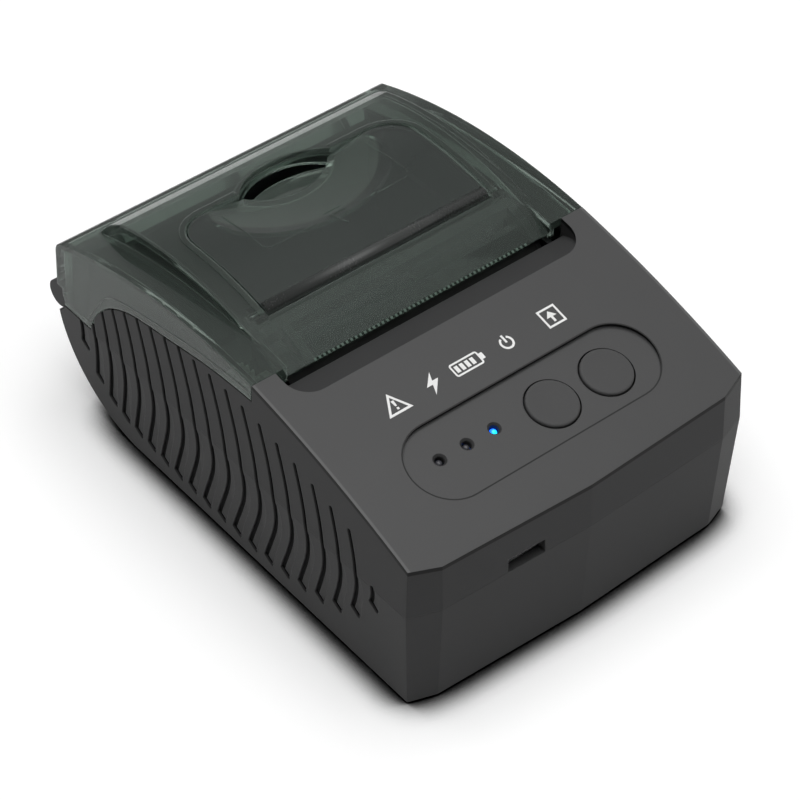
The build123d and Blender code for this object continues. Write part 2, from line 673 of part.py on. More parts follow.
def cover():
    wide = HALF_W + 5
    shell = shoulder_block(0) - shoulder_block(COVER_T)
    shell -= below_side_edge(0)
    shell -= box(-wide, wide, HINGE_Y - BARREL_R + GAP, HINGE_Y + 5, 15, REAR_EDGE_Z)
    shell -= box(-ROOF_HALF + 1, ROOF_HALF - 1, -20, COVER_REAR_Y - COVER_T - 2.5, 15, 60)
    shell -= rod(-wide, wide, HINGE_Y, HINGE_Z, BARREL_R + GAP)

    # Raised roof, and the steps at its sides between the roof and the shell
    roof = across(roof_section(), -ROOF_HALF, ROOF_HALF)
    step_in = ROOF_HALF - STEP_T
    step = across(roof_fill(0), step_in, ROOF_HALF)
    step += shoulder_block(0) & box(step_in, ROOF_HALF, SEAM_Y, ROLL_END[0], 20, 60)
    step -= across(roof_fill(COVER_T), step_in - 1, ROOF_HALF + 1) & shoulder_block(COVER_T)
    step -= box(step_in - 1, ROOF_HALF + 1, SEAM_Y - 5, REAR_Y, 15, ROLL_END[1] - 1.1)
    body = shell + roof + both(step)

    opening = lever_plan(LEVER_GAP) + scoop(0)
    rim = (scoop(1.1) - scoop(0)) & box(-20, 20, LEVER_REAR + LEVER_GAP, 45, 43.2, 48)
    body += rim & across(roof_fill(0), -ROOF_HALF, ROOF_HALF)
    body -= opening

    # Lugs for the lever's pin, hung from the roof beside the opening
    y, z = LEVER_PIVOT
    lug_in = LEVER_HALF + LEVER_GAP
    lug = box(lug_in, lug_in + 2, y - BAR_R, y + BAR_R, z - 1.9, z + 1.2)
    body += both(lug)
    body -= rod(-lug_in - 3, lug_in + 3, y, z, LEVER_PIN_R)

    body = body - tear_teeth()

    for x0, x1 in ((-BARREL_IN + GAP, -KNUCKLE_IN), (KNUCKLE_IN, BARREL_IN - GAP), (-4.0, 4.0)):
        body += knuckle(x0, x1)
    body -= rod(-BARREL_IN, BARREL_IN, HINGE_Y, HINGE_Z, HINGE_PIN_R + RUN)
    return body


def lever_plate():
    """Curved plate of the lever with its hollow, cut away where the finger tab starts."""
    shell = under(grown(ROOF_ARC, -0.1), 2, 35, 38, -LEVER_HALF, LEVER_HALF) & lever_plan(0)
    core = under(grown(ROOF_ARC, -0.1 - LEVER_T), 1, 36, 30, -LEVER_HALF - 1, LEVER_HALF + 1)
    sphere_r = (DISH_R ** 2 + DISH_DEEP ** 2) / (2 * DISH_DEEP)
    centre_y = DISH_FRONT + DISH_R
    centre_z = arc_z(ROOF_ARC, centre_y - 8) - DISH_DEEP + sphere_r
    dish = Pos(0, centre_y, centre_z) * Sphere(sphere_r)
    plate = (shell - core) + (shell & (Pos(0, centre_y, centre_z) * Sphere(sphere_r + LEVER_T)))
    return plate - dish - box(-LEVER_HALF - 1, LEVER_HALF + 1, 0, LEVER_PIVOT[0] - 0.4, 30, 60), dish


def tab_slab(y0, y1, top, t):
    """Slanting slab across the lever, which the tab and its web are cut from."""
    def z(y):
        return top - (y - y0) * TAB_FALL
    points = [(y0, z(y0)), (y0, z(y0) - t), (y1, z(y1) - t), (y1, z(y1)), (y0, z(y0))]
    return across(side_face(points), -15, 15)


def release_lever():
    plate, dish = lever_plate()
    crease = post(0, TAB_CREASE[0], 38, 55, TAB_CREASE[1])
    lip = post(0, TAB_LIP[0], 38, 55, TAB_LIP[1])
    start = TAB_CREASE[0] - TAB_CREASE[1]
    end = TAB_LIP[0] + TAB_LIP[1]
    grown_crease = post(0, TAB_CREASE[0], 38, 55, TAB_CREASE[1] + TAB_T)
    tab = tab_slab(start - TAB_T, end, TAB_TOP, TAB_T) & lip & grown_crease
    web = (grown_crease - crease) & tab_slab(start - TAB_T, LEVER_REAR, TAB_TOP + 2, TAB_T + 2)
    web = (web & lever_plan(0)) - dish
    y, z = LEVER_PIVOT
    body = (plate - crease) + tab + web + rod(-LEVER_HALF, LEVER_HALF, y, z, BAR_R)
    for x in LEVER_SPRING_X:
        body -= rod(x - 2.1, x + 2.1, y, z, SPRING_BORE_R)
        body -= box(x - 2.1, x + 2.1, y - 0.5, y + 0.5, z - BAR_R - 1, z)
    return body - rod(-LEVER_HALF - 1, LEVER_HALF + 1, y, z, LEVER_PIN_R + RUN)


def coil(radius, wire, turns, pitch):
    """A coil along Z from the origin, with flat ring ends left plain."""
    path = Helix(pitch, pitch * turns, radius)
    start = Plane(origin=path @ 0, z_dir=path % 0)
    return sweep(start * Circle(wire / 2), path=path)


def lever_springs():
    """Two torsion springs on the lever's pin, inside its front bar."""
    y, z = LEVER_PIVOT
    pitch = 0.5
    turns = 6
    radius = SPRING_BORE_R - LEVER_WIRE / 2 - 0.1
    springs = []
    for x in LEVER_SPRING_X:
        wound = Pos(x - turns * pitch / 2, y, z) * Rot(0, 90, 0) * coil(radius, LEVER_WIRE, turns, pitch)
        springs.append(wound)
    return springs


# Print mechanism

def hinge_way():
    """Unit vector along which the platen lifts out as the cover starts to open."""
    dy = PLATEN_Y - HINGE_Y
    dz = PLATEN_Z - HINGE_Z
    r = sqrt(dy * dy + dz * dz)
    return dz / r, -dy / r


WAY_Y, WAY_Z = hinge_way()
IDLER_D = MODULE * (PLATEN_TEETH + IDLER_SMALL) / 2
IDLER_Y = PLATEN_Y - IDLER_D * WAY_Y
IDLER_Z = PLATEN_Z - IDLER_D * WAY_Z
MOTOR_D = MODULE * (IDLER_BIG + PINION_TEETH) / 2
MOTOR_Y = IDLER_Y + MOTOR_D * cos(radians(MOTOR_ANGLE))
MOTOR_Z = IDLER_Z + MOTOR_D * sin(radians(MOTOR_ANGLE))


def involute(base, r):
    """Angle that an involute has turned from its base circle when it reaches radius r."""
    if r <= base:
        return 0.0
    a = sqrt((r / base) ** 2 - 1)
    return a - atan2(a, 1)


def gear(teeth, x_span, y, z, first, bore):
    """Spur gear on an X axis. One tooth points at the angle first, in degrees from +Y to +Z."""
    pitch_r = MODULE * teeth / 2
    base = pitch_r * cos(radians(20))
    root = pitch_r - 1.2 * MODULE
    tip = pitch_r + 0.9 * MODULE
    backlash = 0.14
    half_pitch = (pi * MODULE / 2 - backlash) / (2 * pitch_r) + involute(base, pitch_r)
    low = max(root, base)
    radii = [low + (tip - low) * k / 3 for k in range(4)]
    points = []
    for i in range(teeth):
        centre = radians(first) + 2 * pi * i / teeth
        rise = [(r, centre - half_pitch + involute(base, r)) for r in radii]
        fall = [(r, centre + half_pitch - involute(base, r)) for r in reversed(radii)]
        foot0 = [(root, rise[0][1])] if root < low else []
        foot1 = [(root, fall[-1][1])] if root < low else []
        points += foot0 + rise + fall + foot1
    outline = Polyline(*[(y + r * cos(a), z + r * sin(a)) for r, a in points], close=True)
    blank = across(make_face(outline), *x_span)
    return blank - rod(x_span[0] - 1, x_span[1] + 1, y, z, bore)


def line_angle(y0, z0, y1, z1):
    return degrees(atan2(z1 - z0, y1 - y0))


DOWN = line_angle(PLATEN_Y, PLATEN_Z, IDLER_Y, IDLER_Z)
ACROSS = line_angle(IDLER_Y, IDLER_Z, MOTOR_Y, MOTOR_Z)


def platen_gear():
    return gear(PLATEN_TEETH, GEAR_B_X, PLATEN_Y, PLATEN_Z, DOWN, SHAFT_R)


def idler_gear():
    """Compound gear: the small wheel drives the platen gear, the large one meets the pinion."""
    small_x = (GEAR_B_X[0] - 0.1, GEAR_A_X[0])
    facing = DOWN + 180 + 180 / IDLER_SMALL
    small = gear(IDLER_SMALL, small_x, IDLER_Y, IDLER_Z, facing, IDLER_PIN_R + RUN)
    return small + gear(IDLER_BIG, GEAR_A_X, IDLER_Y, IDLER_Z, ACROSS, IDLER_PIN_R + RUN)


def motor_pinion():
    facing = ACROSS + 180 + 180 / PINION_TEETH
    return gear(PINION_TEETH, GEAR_A_X, MOTOR_Y, MOTOR_Z, facing, MOTOR_SHAFT_R)


def slot_cut(x0, x1):
    """Upward slot in a cheek that seats the bush and flares toward its mouth."""
    r = BUSH_R + RUN
    up = 8.0
    flare = up * tan(radians(6))
    ny, nz = WAY_Z, -WAY_Y
    y, z = PLATEN_Y, PLATEN_Z
    points = [(y - r * ny, z - r * nz), (y + r * ny, z + r * nz),
              (y + (r + flare) * ny + up * WAY_Y, z + (r + flare) * nz + up * WAY_Z),
              (y - (r + flare) * ny + up * WAY_Y, z - (r + flare) * nz + up * WAY_Z),
              (y - r * ny, z - r * nz)]
    return across(side_face(points), x0, x1) + rod(x0, x1, y, z, r)


def mechanism_frame():
    out = CHEEK_IN + CHEEK_T
    cheek = box(CHEEK_IN, out, FRAME_FRONT, FRAME_REAR, FRAME_Z0, CHEEK_TOP)
    cheek += box(CHEEK_IN, out, FRAME_REAR - 1, PLATEN_Y + BUSH_R + 1.7, BIN_FRONT_TOP + GAP, CHEEK_TOP)
    body = both(cheek) + box(-CHEEK_IN, CHEEK_IN, FRAME_FRONT, FRAME_REAR, FRAME_Z0, FRAME_Z0 + FRAME_T)
    body += box(-CHEEK_IN, CHEEK_IN, HEAD_WALL_Y, HEAD_WALL_Y + FRAME_T, HEAD_Z0 + 0.6, CHEEK_TOP - 0.6)
    # Curved paper guide that runs under and behind the platen
    guide_r = PLATEN_R + 1.3
    guide = tube(-CHEEK_IN, CHEEK_IN, PLATEN_Y, PLATEN_Z, guide_r + 0.9, guide_r)
    far = PLATEN_Z - 9
    keep = [(PLATEN_Y, PLATEN_Z), (PLATEN_Y + 8, PLATEN_Z - 4.6), (PLATEN_Y + 8, far), (PLATEN_Y - 2.0, far),
            (PLATEN_Y, PLATEN_Z)]
    body += guide & across(side_face(keep), -CHEEK_IN, CHEEK_IN)
    body -= slot_cut(-out - 1, -CHEEK_IN + 0.01) + slot_cut(CHEEK_IN - 0.01, out + 1)
    body -= rod(-out - 1, out + 1, HEAD_PIVOT[0], HEAD_PIVOT[1], HEAD_ROD_R)
    body -= rod(-out - 1, -CHEEK_IN + 1, MOTOR_Y, MOTOR_Z, MOTOR_SHAFT_R + 1.2)
    body -= rod(-out - 1, -CHEEK_IN + 1, IDLER_Y, IDLER_Z, IDLER_PIN_R)
    for x, y in FRAME_SCREW_XY:
        body -= post(x, y, FRAME_Z0 - 1, FRAME_Z0 + FRAME_T + 1, FRAME_SCREW_R + 0.1)
    return body


def frame_screws():
    screws = []
    top = FRAME_Z0 + FRAME_T
    for x, y in FRAME_SCREW_XY:
        screw = post(x, y, FRAME_Z0 - FRAME_SCREW_LONG, top, FRAME_SCREW_R)
        screw += post(x, y, top, top + 1, 1.4) - box(x - 1, x + 1, y - 0.2, y + 0.2, top + 0.5, top + 2)
        screws.append(screw)
    return screws


def idler_post():
    body = rod(GEAR_B_X[0] - 0.3, -CHEEK_IN, IDLER_Y, IDLER_Z, IDLER_PIN_R)
    return body + rod(GEAR_A_X[1] + 0.1, -CHEEK_IN - CHEEK_T, IDLER_Y, IDLER_Z, IDLER_PIN_R + 0.6)


def stepper_motor():
    x0 = -CHEEK_IN + SEAT
    can = rod(x0, x0 + MOTOR_LONG, MOTOR_Y, MOTOR_Z, MOTOR_R)
    boss = rod(-CHEEK_IN - 0.4, x0, MOTOR_Y, MOTOR_Z, MOTOR_SHAFT_R + 1)
    plug = box(x0 + 3, x0 + 8, MOTOR_Y - MOTOR_R - 1, MOTOR_Y - MOTOR_R + 2, MOTOR_Z - 3, MOTOR_Z + 3)
    hollow = rod(-CHEEK_IN - 1, x0 + MOTOR_LONG - 1, MOTOR_Y, MOTOR_Z, MOTOR_SHAFT_R + RUN)
    return can + boss + plug - hollow


def motor_shaft():
    return rod(GEAR_A_X[0], -CHEEK_IN + MOTOR_LONG - 1, MOTOR_Y, MOTOR_Z, MOTOR_SHAFT_R)


def head_heatsink():
    back = HEAD_FACE_Y - CERAMIC_T
    body = box(-HEAD_HALF, HEAD_HALF, back - SINK_T, back, HEAD_Z0, HEAD_Z1)
    y, z = HEAD_PIVOT
    for x in HEAD_LUG_X:
        body += box(x, x + 2, y - 1.6, back - SINK_T, z - 1.2, z + 1.4)
    return body - rod(-40, 40, y, z, HEAD_ROD_R + RUN)


def thermal_head():
    back = HEAD_FACE_Y - CERAMIC_T
    board = box(-HEAD_HALF + 0.3, HEAD_HALF - 0.3, back, back + CERAMIC_T - 0.25, HEAD_Z0 + 0.3, HEAD_Z1 - 0.3)
    line = box(-24.5, 24.5, back + CERAMIC_T - 0.25, HEAD_FACE_Y, PLATEN_Z - 0.5, PLATEN_Z + 0.5)
    cap = box(-20, 20, back + CERAMIC_T - 0.25, HEAD_FACE_Y, HEAD_Z0 + 0.5, HEAD_Z0 + 1.7)
    return board + line + cap


def head_springs():
    wall = HEAD_WALL_Y + FRAME_T
    sink = HEAD_FACE_Y - CERAMIC_T - SINK_T
    length = sink - wall - SPRING_WIRE - GAP
    springs = []
    for x in HEAD_SPRING_X:
        spring = coil(1.5, SPRING_WIRE, 3, length / 3)
        springs.append(Pos(x, wall + SPRING_WIRE / 2, HEAD_SPRING_Z) * Rot(-90, 0, 0) * spring)
    return springs


def platen_carrier():
    """Dark bracket under the roof that holds the platen's bushes."""
    y, z = PLATEN_Y, PLATEN_Z
    ear_x0 = PLATEN_HALF + 0.4
    ear_x1 = ear_x0 + 1.0
    skin = COVER_T + 0.03
    bar_y0, bar_y1 = CARRIER_BAR_Y
    ear = rod(ear_x0, ear_x1, y, z, BUSH_R + 1.1)
    ear += box(ear_x0, ear_x1, y - 2.6, bar_y1, z, 50) & shoulder_block(skin)
    ear += box(0, ear_x1, bar_y0, bar_y1, 41.5, 50) & shoulder_block(skin)
    body = both(ear) + box(1 - ear_x0, ear_x0 - 1, bar_y0, bar_y1, 41.5, 50)
    for x0 in CARRIER_ARM_X:
        body += box(x0, x0 + CARRIER_ARM_W, TEAR_Y + LIP_T, bar_y1, 40.8, 50)
    body = body & (Pos(0, 0, COVER_T - skin) * across(roof_fill(COVER_T), -ear_x1, ear_x1))
    return body - rod(-ear_x1 - 1, ear_x1 + 1, y, z, BUSH_R)


def platen_bushings():
    x0 = PLATEN_HALF + 0.3
    bush = tube(x0, CHEEK_IN + CHEEK_T + 0.1, PLATEN_Y, PLATEN_Z, BUSH_R, SHAFT_R + RUN)
    return [bush, mirror(bush, about=Plane.YZ)]


def platen_roller():
    return tube(-PLATEN_HALF, PLATEN_HALF, PLATEN_Y, PLATEN_Z, PLATEN_R, SHAFT_R)


def platen_shaft():
    return rod(GEAR_B_X[0], SHAFT_END, PLATEN_Y, PLATEN_Z, SHAFT_R)


# Bin, battery, boards and small pieces

def paper_bin():
    y, z = ROLL_CY, ROLL_CZ
    half = BIN_HALF
    trough = tube(-half, half, y, z, BIN_R + BIN_T, BIN_R) & box(-half, half, y - 30, y + 30, 0, z)
    body = trough + box(-half, half, y - BIN_R - BIN_T, y - BIN_R, z, BIN_FRONT_TOP)
    body += box(-half, half, y + BIN_R, y + BIN_R + BIN_T, z, BIN_REAR_TOP)
    end = rod(half, half + BIN_T, y, z, BIN_R + BIN_T) & box(half, half + BIN_T, y - 30, y + 30, 0, z)
    end += box(half, half + BIN_T, y - BIN_R - BIN_T, y + BIN_R + BIN_T, z, BIN_FRONT_TOP)
    return body + both(end)


def battery_pack():
    bx, by, bz = BATTERY
    z0 = BATTERY_Z0
    block = box(-bx / 2, bx / 2, BATTERY_CY - by / 2, BATTERY_CY + by / 2, z0, z0 + bz)
    return fillet(block.edges().filter_by(Axis.X), 2.5)


def battery_door():
    """Flat door with a rounded rear edge that turns on two short pins."""
    half = BAY_X - GAP
    front = BAY_Y0 + GAP
    body = box(-half, half, front, DOOR_PIN_Y, BOTTOM_Z, BOTTOM_Z + DOOR_T)
    body += rod(-half, half, DOOR_PIN_Y, DOOR_PIN_Z, DOOR_T / 2)
    body += rod(GAP - BAY_X - DOOR_PIN_LONG, BAY_X + DOOR_PIN_LONG - GAP, DOOR_PIN_Y, DOOR_PIN_Z, DOOR_PIN_R)
    ribs = [box(x - 0.5, x + 0.5, front + 2, front + 8, BOTTOM_Z - 1, BOTTOM_Z + 0.4) for x in range(-6, 7, 2)]
    return body - ribs


def battery_contacts():
    """Three leaf springs that press on the battery's pads from the wall of its bay."""
    leaves = []
    for x in CONTACT_X:
        leaves.append(box(x - 1, x + 1, BAY_Y0, BAY_Y0 + BATTERY_GAP - 0.2, BATTERY_Z0 + 2, BAY_TOP - 2))
    return leaves


def rubber_feet():
    return [post(x, y, 0, BOTTOM_Z + FOOT_SUNK, FOOT_R - 0.1) for x, y in FEET_XY]


def case_screws():
    screws = []
    for x, y in BOSS_XY:
        screw = post(x, y, SCREW_HEAD_Z, SCREW_HEAD_Z + SCREW_LONG, SCREW_R)
        screw += post(x, y, SCREW_HEAD_Z - 1.4, SCREW_HEAD_Z, SCREW_HEAD_R)
        screw -= box(x - 1.3, x + 1.3, y - 0.25, y + 0.25, SCREW_HEAD_Z - 2, SCREW_HEAD_Z - 0.8)
        screw -= box(x - 0.25, x + 0.25, y - 1.3, y + 1.3, SCREW_HEAD_Z - 2, SCREW_HEAD_Z - 0.8)
        screws.append(screw)
    return screws


def main_pcb():
    board = box(-34, 34, PCB_FRONT, PCB_REAR, PCB_TOP - PCB_T, PCB_TOP)
    for x, y in BOSS_XY:
        board -= post(x, y, PCB_TOP - 5, PCB_TOP + 5, BOSS_R + 0.6)
    for x, y in PEG_XY:
        board -= post(x, y, PCB_TOP - 5, PCB_TOP + 5, PEG_R + RUN)
    return board


def main_chips():
    return [box(x - a / 2, x + a / 2, y - b / 2, y + b / 2, PCB_TOP, PCB_TOP + h) for x, y, a, b, h in CHIPS]


def usb_socket():
    x0 = USB_X - USB_W / 2
    x1 = USB_X + USB_W / 2
    y1 = USB_MOUTH_Y + USB_LONG
    z0 = PCB_TOP + 0.1
    shell = box(x0, x1, USB_MOUTH_Y, y1, z0, z0 + USB_H)
    shell -= box(x0 + 0.4, x1 - 0.4, USB_MOUTH_Y - 1, y1 - 0.8, z0 + 0.4, z0 + USB_H - 0.4)
    tongue = box(USB_X - 1.9, USB_X + 1.9, USB_MOUTH_Y + 0.9, y1 - 0.5, z0 + 1.3, z0 + 1.8)
    feet = box(x0, x1, y1 - 3.0, y1 - 0.5, PCB_TOP, z0 + 0.1)
    return shell + tongue + feet


def panel_pcb():
    board = box(-25.8, 25.8, -7.0, 7.6, PANEL_PCB_TOP - PCB_T, PANEL_PCB_TOP)
    for x, v in PANEL_POSTS:
        board -= stub(x, v, PANEL_PCB_TOP - 5, PANEL_PCB_TOP + 5, PEG_R + RUN)
    return on_panel(board)


def tact_switches():
    s = SWITCH_BODY / 2
    out = []
    for x in BUTTON_X.values():
        body = box(x - s, x + s, BUTTON_V - s, BUTTON_V + s, PANEL_PCB_TOP, PANEL_PCB_TOP + SWITCH_H)
        body += stub(x, BUTTON_V, PANEL_PCB_TOP + SWITCH_H, FLANGE_TOP - FLANGE_T - BUTTON_TRAVEL - 0.15, 1.7)
        out.append(on_panel(body))
    return out


def button(x):
    cap = stub(x, BUTTON_V, FLANGE_TOP, BUTTON_PROUD, BUTTON_R)
    cap = fillet(cap.edges().group_by(Axis.Z)[-1], 0.4)
    cap += stub(x, BUTTON_V, FLANGE_TOP - FLANGE_T, FLANGE_TOP, FLANGE_R)
    return on_panel(cap)


def led(x):
    base = box(x - 1.4, x + 1.4, LED_V - 1.1, LED_V + 1.1, PANEL_PCB_TOP, PANEL_PCB_TOP + 1.2)
    pipe = stub(x, LED_V, PANEL_PCB_TOP + 1.2, LED_TOP - LED_R, LED_R)
    dome = Pos(x, LED_V, LED_TOP - LED_R) * Sphere(LED_R)
    return on_panel(base + pipe + dome)


def panel_ribbon():
    """Flat cable between the main board and the rear edge of the panel board."""
    v = 6.8
    under_board = PANEL_PCB_TOP - PCB_T
    tilt = radians(PANEL_TILT)
    y = PANEL_Y + v * cos(tilt) - under_board * sin(tilt)
    z1 = PANEL_Z + v * sin(tilt) + under_board * cos(tilt)
    return box(-5.5, 5.5, y - 0.15, y + 0.15, PCB_TOP, z1 - 0.05)


def head_cable():
    """Flat cable from the print head down to the rear edge of the main board."""
    y0 = PCB_REAR - 3.0
    y1 = HEAD_FACE_Y - CERAMIC_T - 0.4
    z1 = HEAD_Z0 - 0.2
    z0 = PCB_TOP
    points = [(y1, z1), (y1 - 3.0, z1 - 3.5), (y0 + 1.0, z0 + 1.0), (y0, z0), (y0 + 0.4, z0),
              (y0 + 1.2, z0 + 0.75), (y1 - 2.8, z1 - 3.75), (y1 + 0.3, z1), (y1, z1)]
    return across(side_face(points), *HEAD_CABLE_X)


def paper_sensor():
    y, z = PLATEN_Y + 1.0, PLATEN_Z - PLATEN_R - 3.6
    return box(-3.0, 3.0, y - 1.6, y + 1.6, z - 1.4, z + 0.8)


def hinge_pin():
    return rod(-PIN_END, PIN_END, HINGE_Y, HINGE_Z, HINGE_PIN_R)


def lever_pin():
    y, z = LEVER_PIVOT
    end = LEVER_HALF + LEVER_GAP + 2.3
    return rod(-end, end, y, z, LEVER_PIN_R)


def head_rod():
    end = CHEEK_IN + CHEEK_T + 0.2
    return rod(-end, end, HEAD_PIVOT[0], HEAD_PIVOT[1], HEAD_ROD_R)


grooves_up, grooves_down = grooves()

PARTS = {
    "upper_case": upper_case,
    "lower_case": lower_case,
    "cover": cover,
    "release_lever": release_lever,
    "lever_pin": lever_pin,
    "lever_springs": lever_springs,
    "hinge_pin": hinge_pin,
    "platen_carrier": platen_carrier,
    "platen_bushings": platen_bushings,
    "platen_roller": platen_roller,
    "platen_shaft": platen_shaft,
    "platen_gear": platen_gear,
    "idler_gear": idler_gear,
    "idler_post": idler_post,
    "motor_pinion": motor_pinion,
    "stepper_motor": stepper_motor,
    "motor_shaft": motor_shaft,
    "mechanism_frame": mechanism_frame,
    "frame_screws": frame_screws,
    "head_heatsink": head_heatsink,
    "thermal_head": thermal_head,
    "head_springs": head_springs,
    "head_rod": head_rod,
    "head_cable": head_cable,
    "paper_sensor": paper_sensor,
    "paper_bin": paper_bin,
    "battery_pack": battery_pack,
    "battery_door": battery_door,
    "battery_contacts": battery_contacts,
    "rubber_feet": rubber_feet,
    "case_screws": case_screws,
    "main_pcb": main_pcb,
    "main_chips": main_chips,
    "usb_socket": usb_socket,
    "panel_pcb": panel_pcb,
    "panel_ribbon": panel_ribbon,
    "tact_switches": tact_switches,
}

os.makedirs("parts", exist_ok=True)
for name, make in PARTS.items():
    made = make()
    export_step(Compound(children=list(made)) if isinstance(made, list) else made, f"parts/{name}.step")
for name, x in BUTTON_X.items():
    export_step(button(x), f"parts/{name}.step")
for name, x in LED_X.items():
    export_step(led(x), f"parts/{name}.step")
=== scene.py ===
from math import cos, pi, radians, sin, sqrt, tan

import bpy
import numpy as np
from mathutils import Matrix, Vector


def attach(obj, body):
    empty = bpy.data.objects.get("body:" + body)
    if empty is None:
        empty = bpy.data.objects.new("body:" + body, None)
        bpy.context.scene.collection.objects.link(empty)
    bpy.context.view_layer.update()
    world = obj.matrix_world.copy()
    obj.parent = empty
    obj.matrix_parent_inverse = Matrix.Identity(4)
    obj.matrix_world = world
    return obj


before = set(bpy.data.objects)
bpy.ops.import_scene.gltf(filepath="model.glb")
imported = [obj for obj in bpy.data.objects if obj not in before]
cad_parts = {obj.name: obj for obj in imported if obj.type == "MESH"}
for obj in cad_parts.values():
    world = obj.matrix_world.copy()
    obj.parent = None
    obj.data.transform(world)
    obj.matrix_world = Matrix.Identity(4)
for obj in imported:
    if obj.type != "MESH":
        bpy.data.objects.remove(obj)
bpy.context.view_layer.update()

MM = 0.001

# Curves of the top in side view, each a circle as (y, z, radius) in millimetres, as the model has them
DECK_ARC = (21.9, -167.7, 214.67)
ROOF_ARC = (18.6, -19.6, 68.0)

# Casing: its walls, the round under its tail, and its grooves
HALF_W = 38.5
PART_Z = 23.4
WALL_LEAN = tan(radians(2.6))
TAIL_Y = 28.6
TAIL_Z = 23.2
TAIL_EDGE = (20.9, 21.6)
FRONT_END = -48
GROOVE_DEEP = 0.55

# Bands of the casing below the deck or in from the wall, its coat and its painted light and shade: where
# each band starts and stops to change
DECK_TOP_DEEP = (0.95, 1.3)
EDGE_HIGHLIGHT = (0.4, 0.65)
EDGE_SHADE = (0.7, 0.95)
GROOVE_TOP = (1.6, 2.2)
GROOVE_MOUTH = (0.27, 0.42)
GROOVE_FLOOR = (GROOVE_DEEP + 0.08, GROOVE_DEEP + 0.2)

# Lever: how far it lies below the roof, its round hollow, its front bar and the bracket of fine lines
LEVER_SINK = 0.1
DISH_CENTRE_Y = 36.8
DISH_RIM_Y = 28.8
DISH_R = 20.7
DISH_DEEP = 2.6
BAR_Y = 4.5
BAR_Z = 46.0
BAR_R = 1.3
BAR_HALF = 25.1
BRACKET_HALF = 16.6
BRACKET_FRONT = 14.8
BRACKET_REAR = 28.0
BRACKET_R = 1.6

# Cover: where its roof rolls down, the line along its side walls as (y, z), the opening round the lever
# with the finger bay behind it, and the tear bar with its teeth
ROLL_Y = 39.7
SIDE_LINE = [(-7.5, 43.0), (6.3, 41.7), (18.1, 39.6), (29.5, 37.1), (34.6, 34.8), (38.0, 30.6),
             (41.0, 25.5)]
OPENING_HALF = 25.65
OPENING_FRONT = 3.2
OPENING_REAR = 31.05
OPENING_R = 6.85
BAY_Y = 22.2
BAY_R = 13.7
BEAD_OUT = 0.75
BEAD_W = 1.1
TEAR_Y = -8.1
TEAR_Z = 42.2
TEAR_SLOPE = 0.564
TEETH_X0 = -23.4
TEETH = 49
TOOTH_W = 0.44

# Control panel in plan: the middles of its round ends along X and Y, their radius, and how far its tilt
# shortens it
PANEL_ENDS = (-18.6, 20.0)
PANEL_Y = -38.0
PANEL_R = 7.92
PANEL_SQUASH = 0.961

# Printed signs: how far the ink lies in and over the deck, and how thick a line is
INK_LOW = -0.03
INK_HIGH = 0.03
INK_LINE = 0.42

# Sky: what it gives to matt surfaces, what gloss sees in it, and what is seen through clear plastic
SKY_LIGHT = 0.1
GLOSS_SKY = 0.4
GLOSS_LEFT = 0.12
GLOSS_TOP = 1.3
CLEAR_SKY = 0.6

# Floor: half its side in metres, its tone, its own glow, and the shade close to the printer's foot
FLOOR_HALF = 6.0
FLOOR_TONE = 0.86
FLOOR_LIFT = 0.22
CONTACT = 7.0
CONTACT_ENDS = (0.48, 1.0)


# Camera, set by matching corners of the casing with the photograph

def place_camera():
    azimuth, elevation, roll = radians(-39.47), radians(43.995), radians(0.40)
    target = Vector((-2.78, -5.9, 18.52)) * MM
    distance = 531.6 * MM
    back = Vector((sin(azimuth) * cos(elevation), -cos(azimuth) * cos(elevation), sin(elevation)))
    right = Vector((cos(azimuth), sin(azimuth), 0))
    up = back.cross(right)
    side = right * cos(roll) + up * sin(roll)
    top = up * cos(roll) - right * sin(roll)
    turn = Matrix((side, top, back)).transposed()
    lens = bpy.data.cameras.new("camera")
    lens.sensor_width = 36.0
    lens.lens = 131.47
    lens.clip_start = 0.05
    lens.clip_end = 20.0
    camera = bpy.data.objects.new("camera", lens)
    camera.matrix_world = Matrix.Translation(target + back * distance) @ turn.to_4x4()
    bpy.context.scene.collection.objects.link(camera)
    bpy.context.scene.camera = camera


# Shader sums written as plain expressions

class Field:
    """A shader socket. Sums, products and powers of fields add Math nodes to their tree."""

    def __init__(self, maker, socket):
        self.maker = maker
        self.socket = socket

    def math(self, operation, *values):
        sockets = {i: v for i, v in enumerate(values)}
        return self.maker.node("Math", {"operation": operation}, sockets, "Value")

    def __add__(self, other):
        return self.math("ADD", self, other)

    __radd__ = __add__

    def __sub__(self, other):
        return self.math("SUBTRACT", self, other)

    def __rsub__(self, other):
        return self.math("SUBTRACT", other, self)

    def __mul__(self, other):
        return self.math("MULTIPLY", self, other)

    __rmul__ = __mul__

    def __truediv__(self, other):
        return self.math("DIVIDE", self, other)

    def __pow__(self, other):
        return self.math("POWER", self, other)

    def __abs__(self):
        return self.math("ABSOLUTE", self)

    def at_least(self, other):
        return self.math("MAXIMUM", self, other)

    def at_most(self, other):
        return self.math("MINIMUM", self, other)

    def root(self):
        return self.math("SQRT", self)

    def sine(self):
        return self.math("SINE", self)

    def rise(self, low, high):
        """0 below low and 1 above high, with a smooth change between them."""
        ends = {"Value": self, "From Min": low, "From Max": high}
        kind = {"interpolation_type": "SMOOTHSTEP"}
        return self.maker.node("MapRange", kind, ends, "Result")


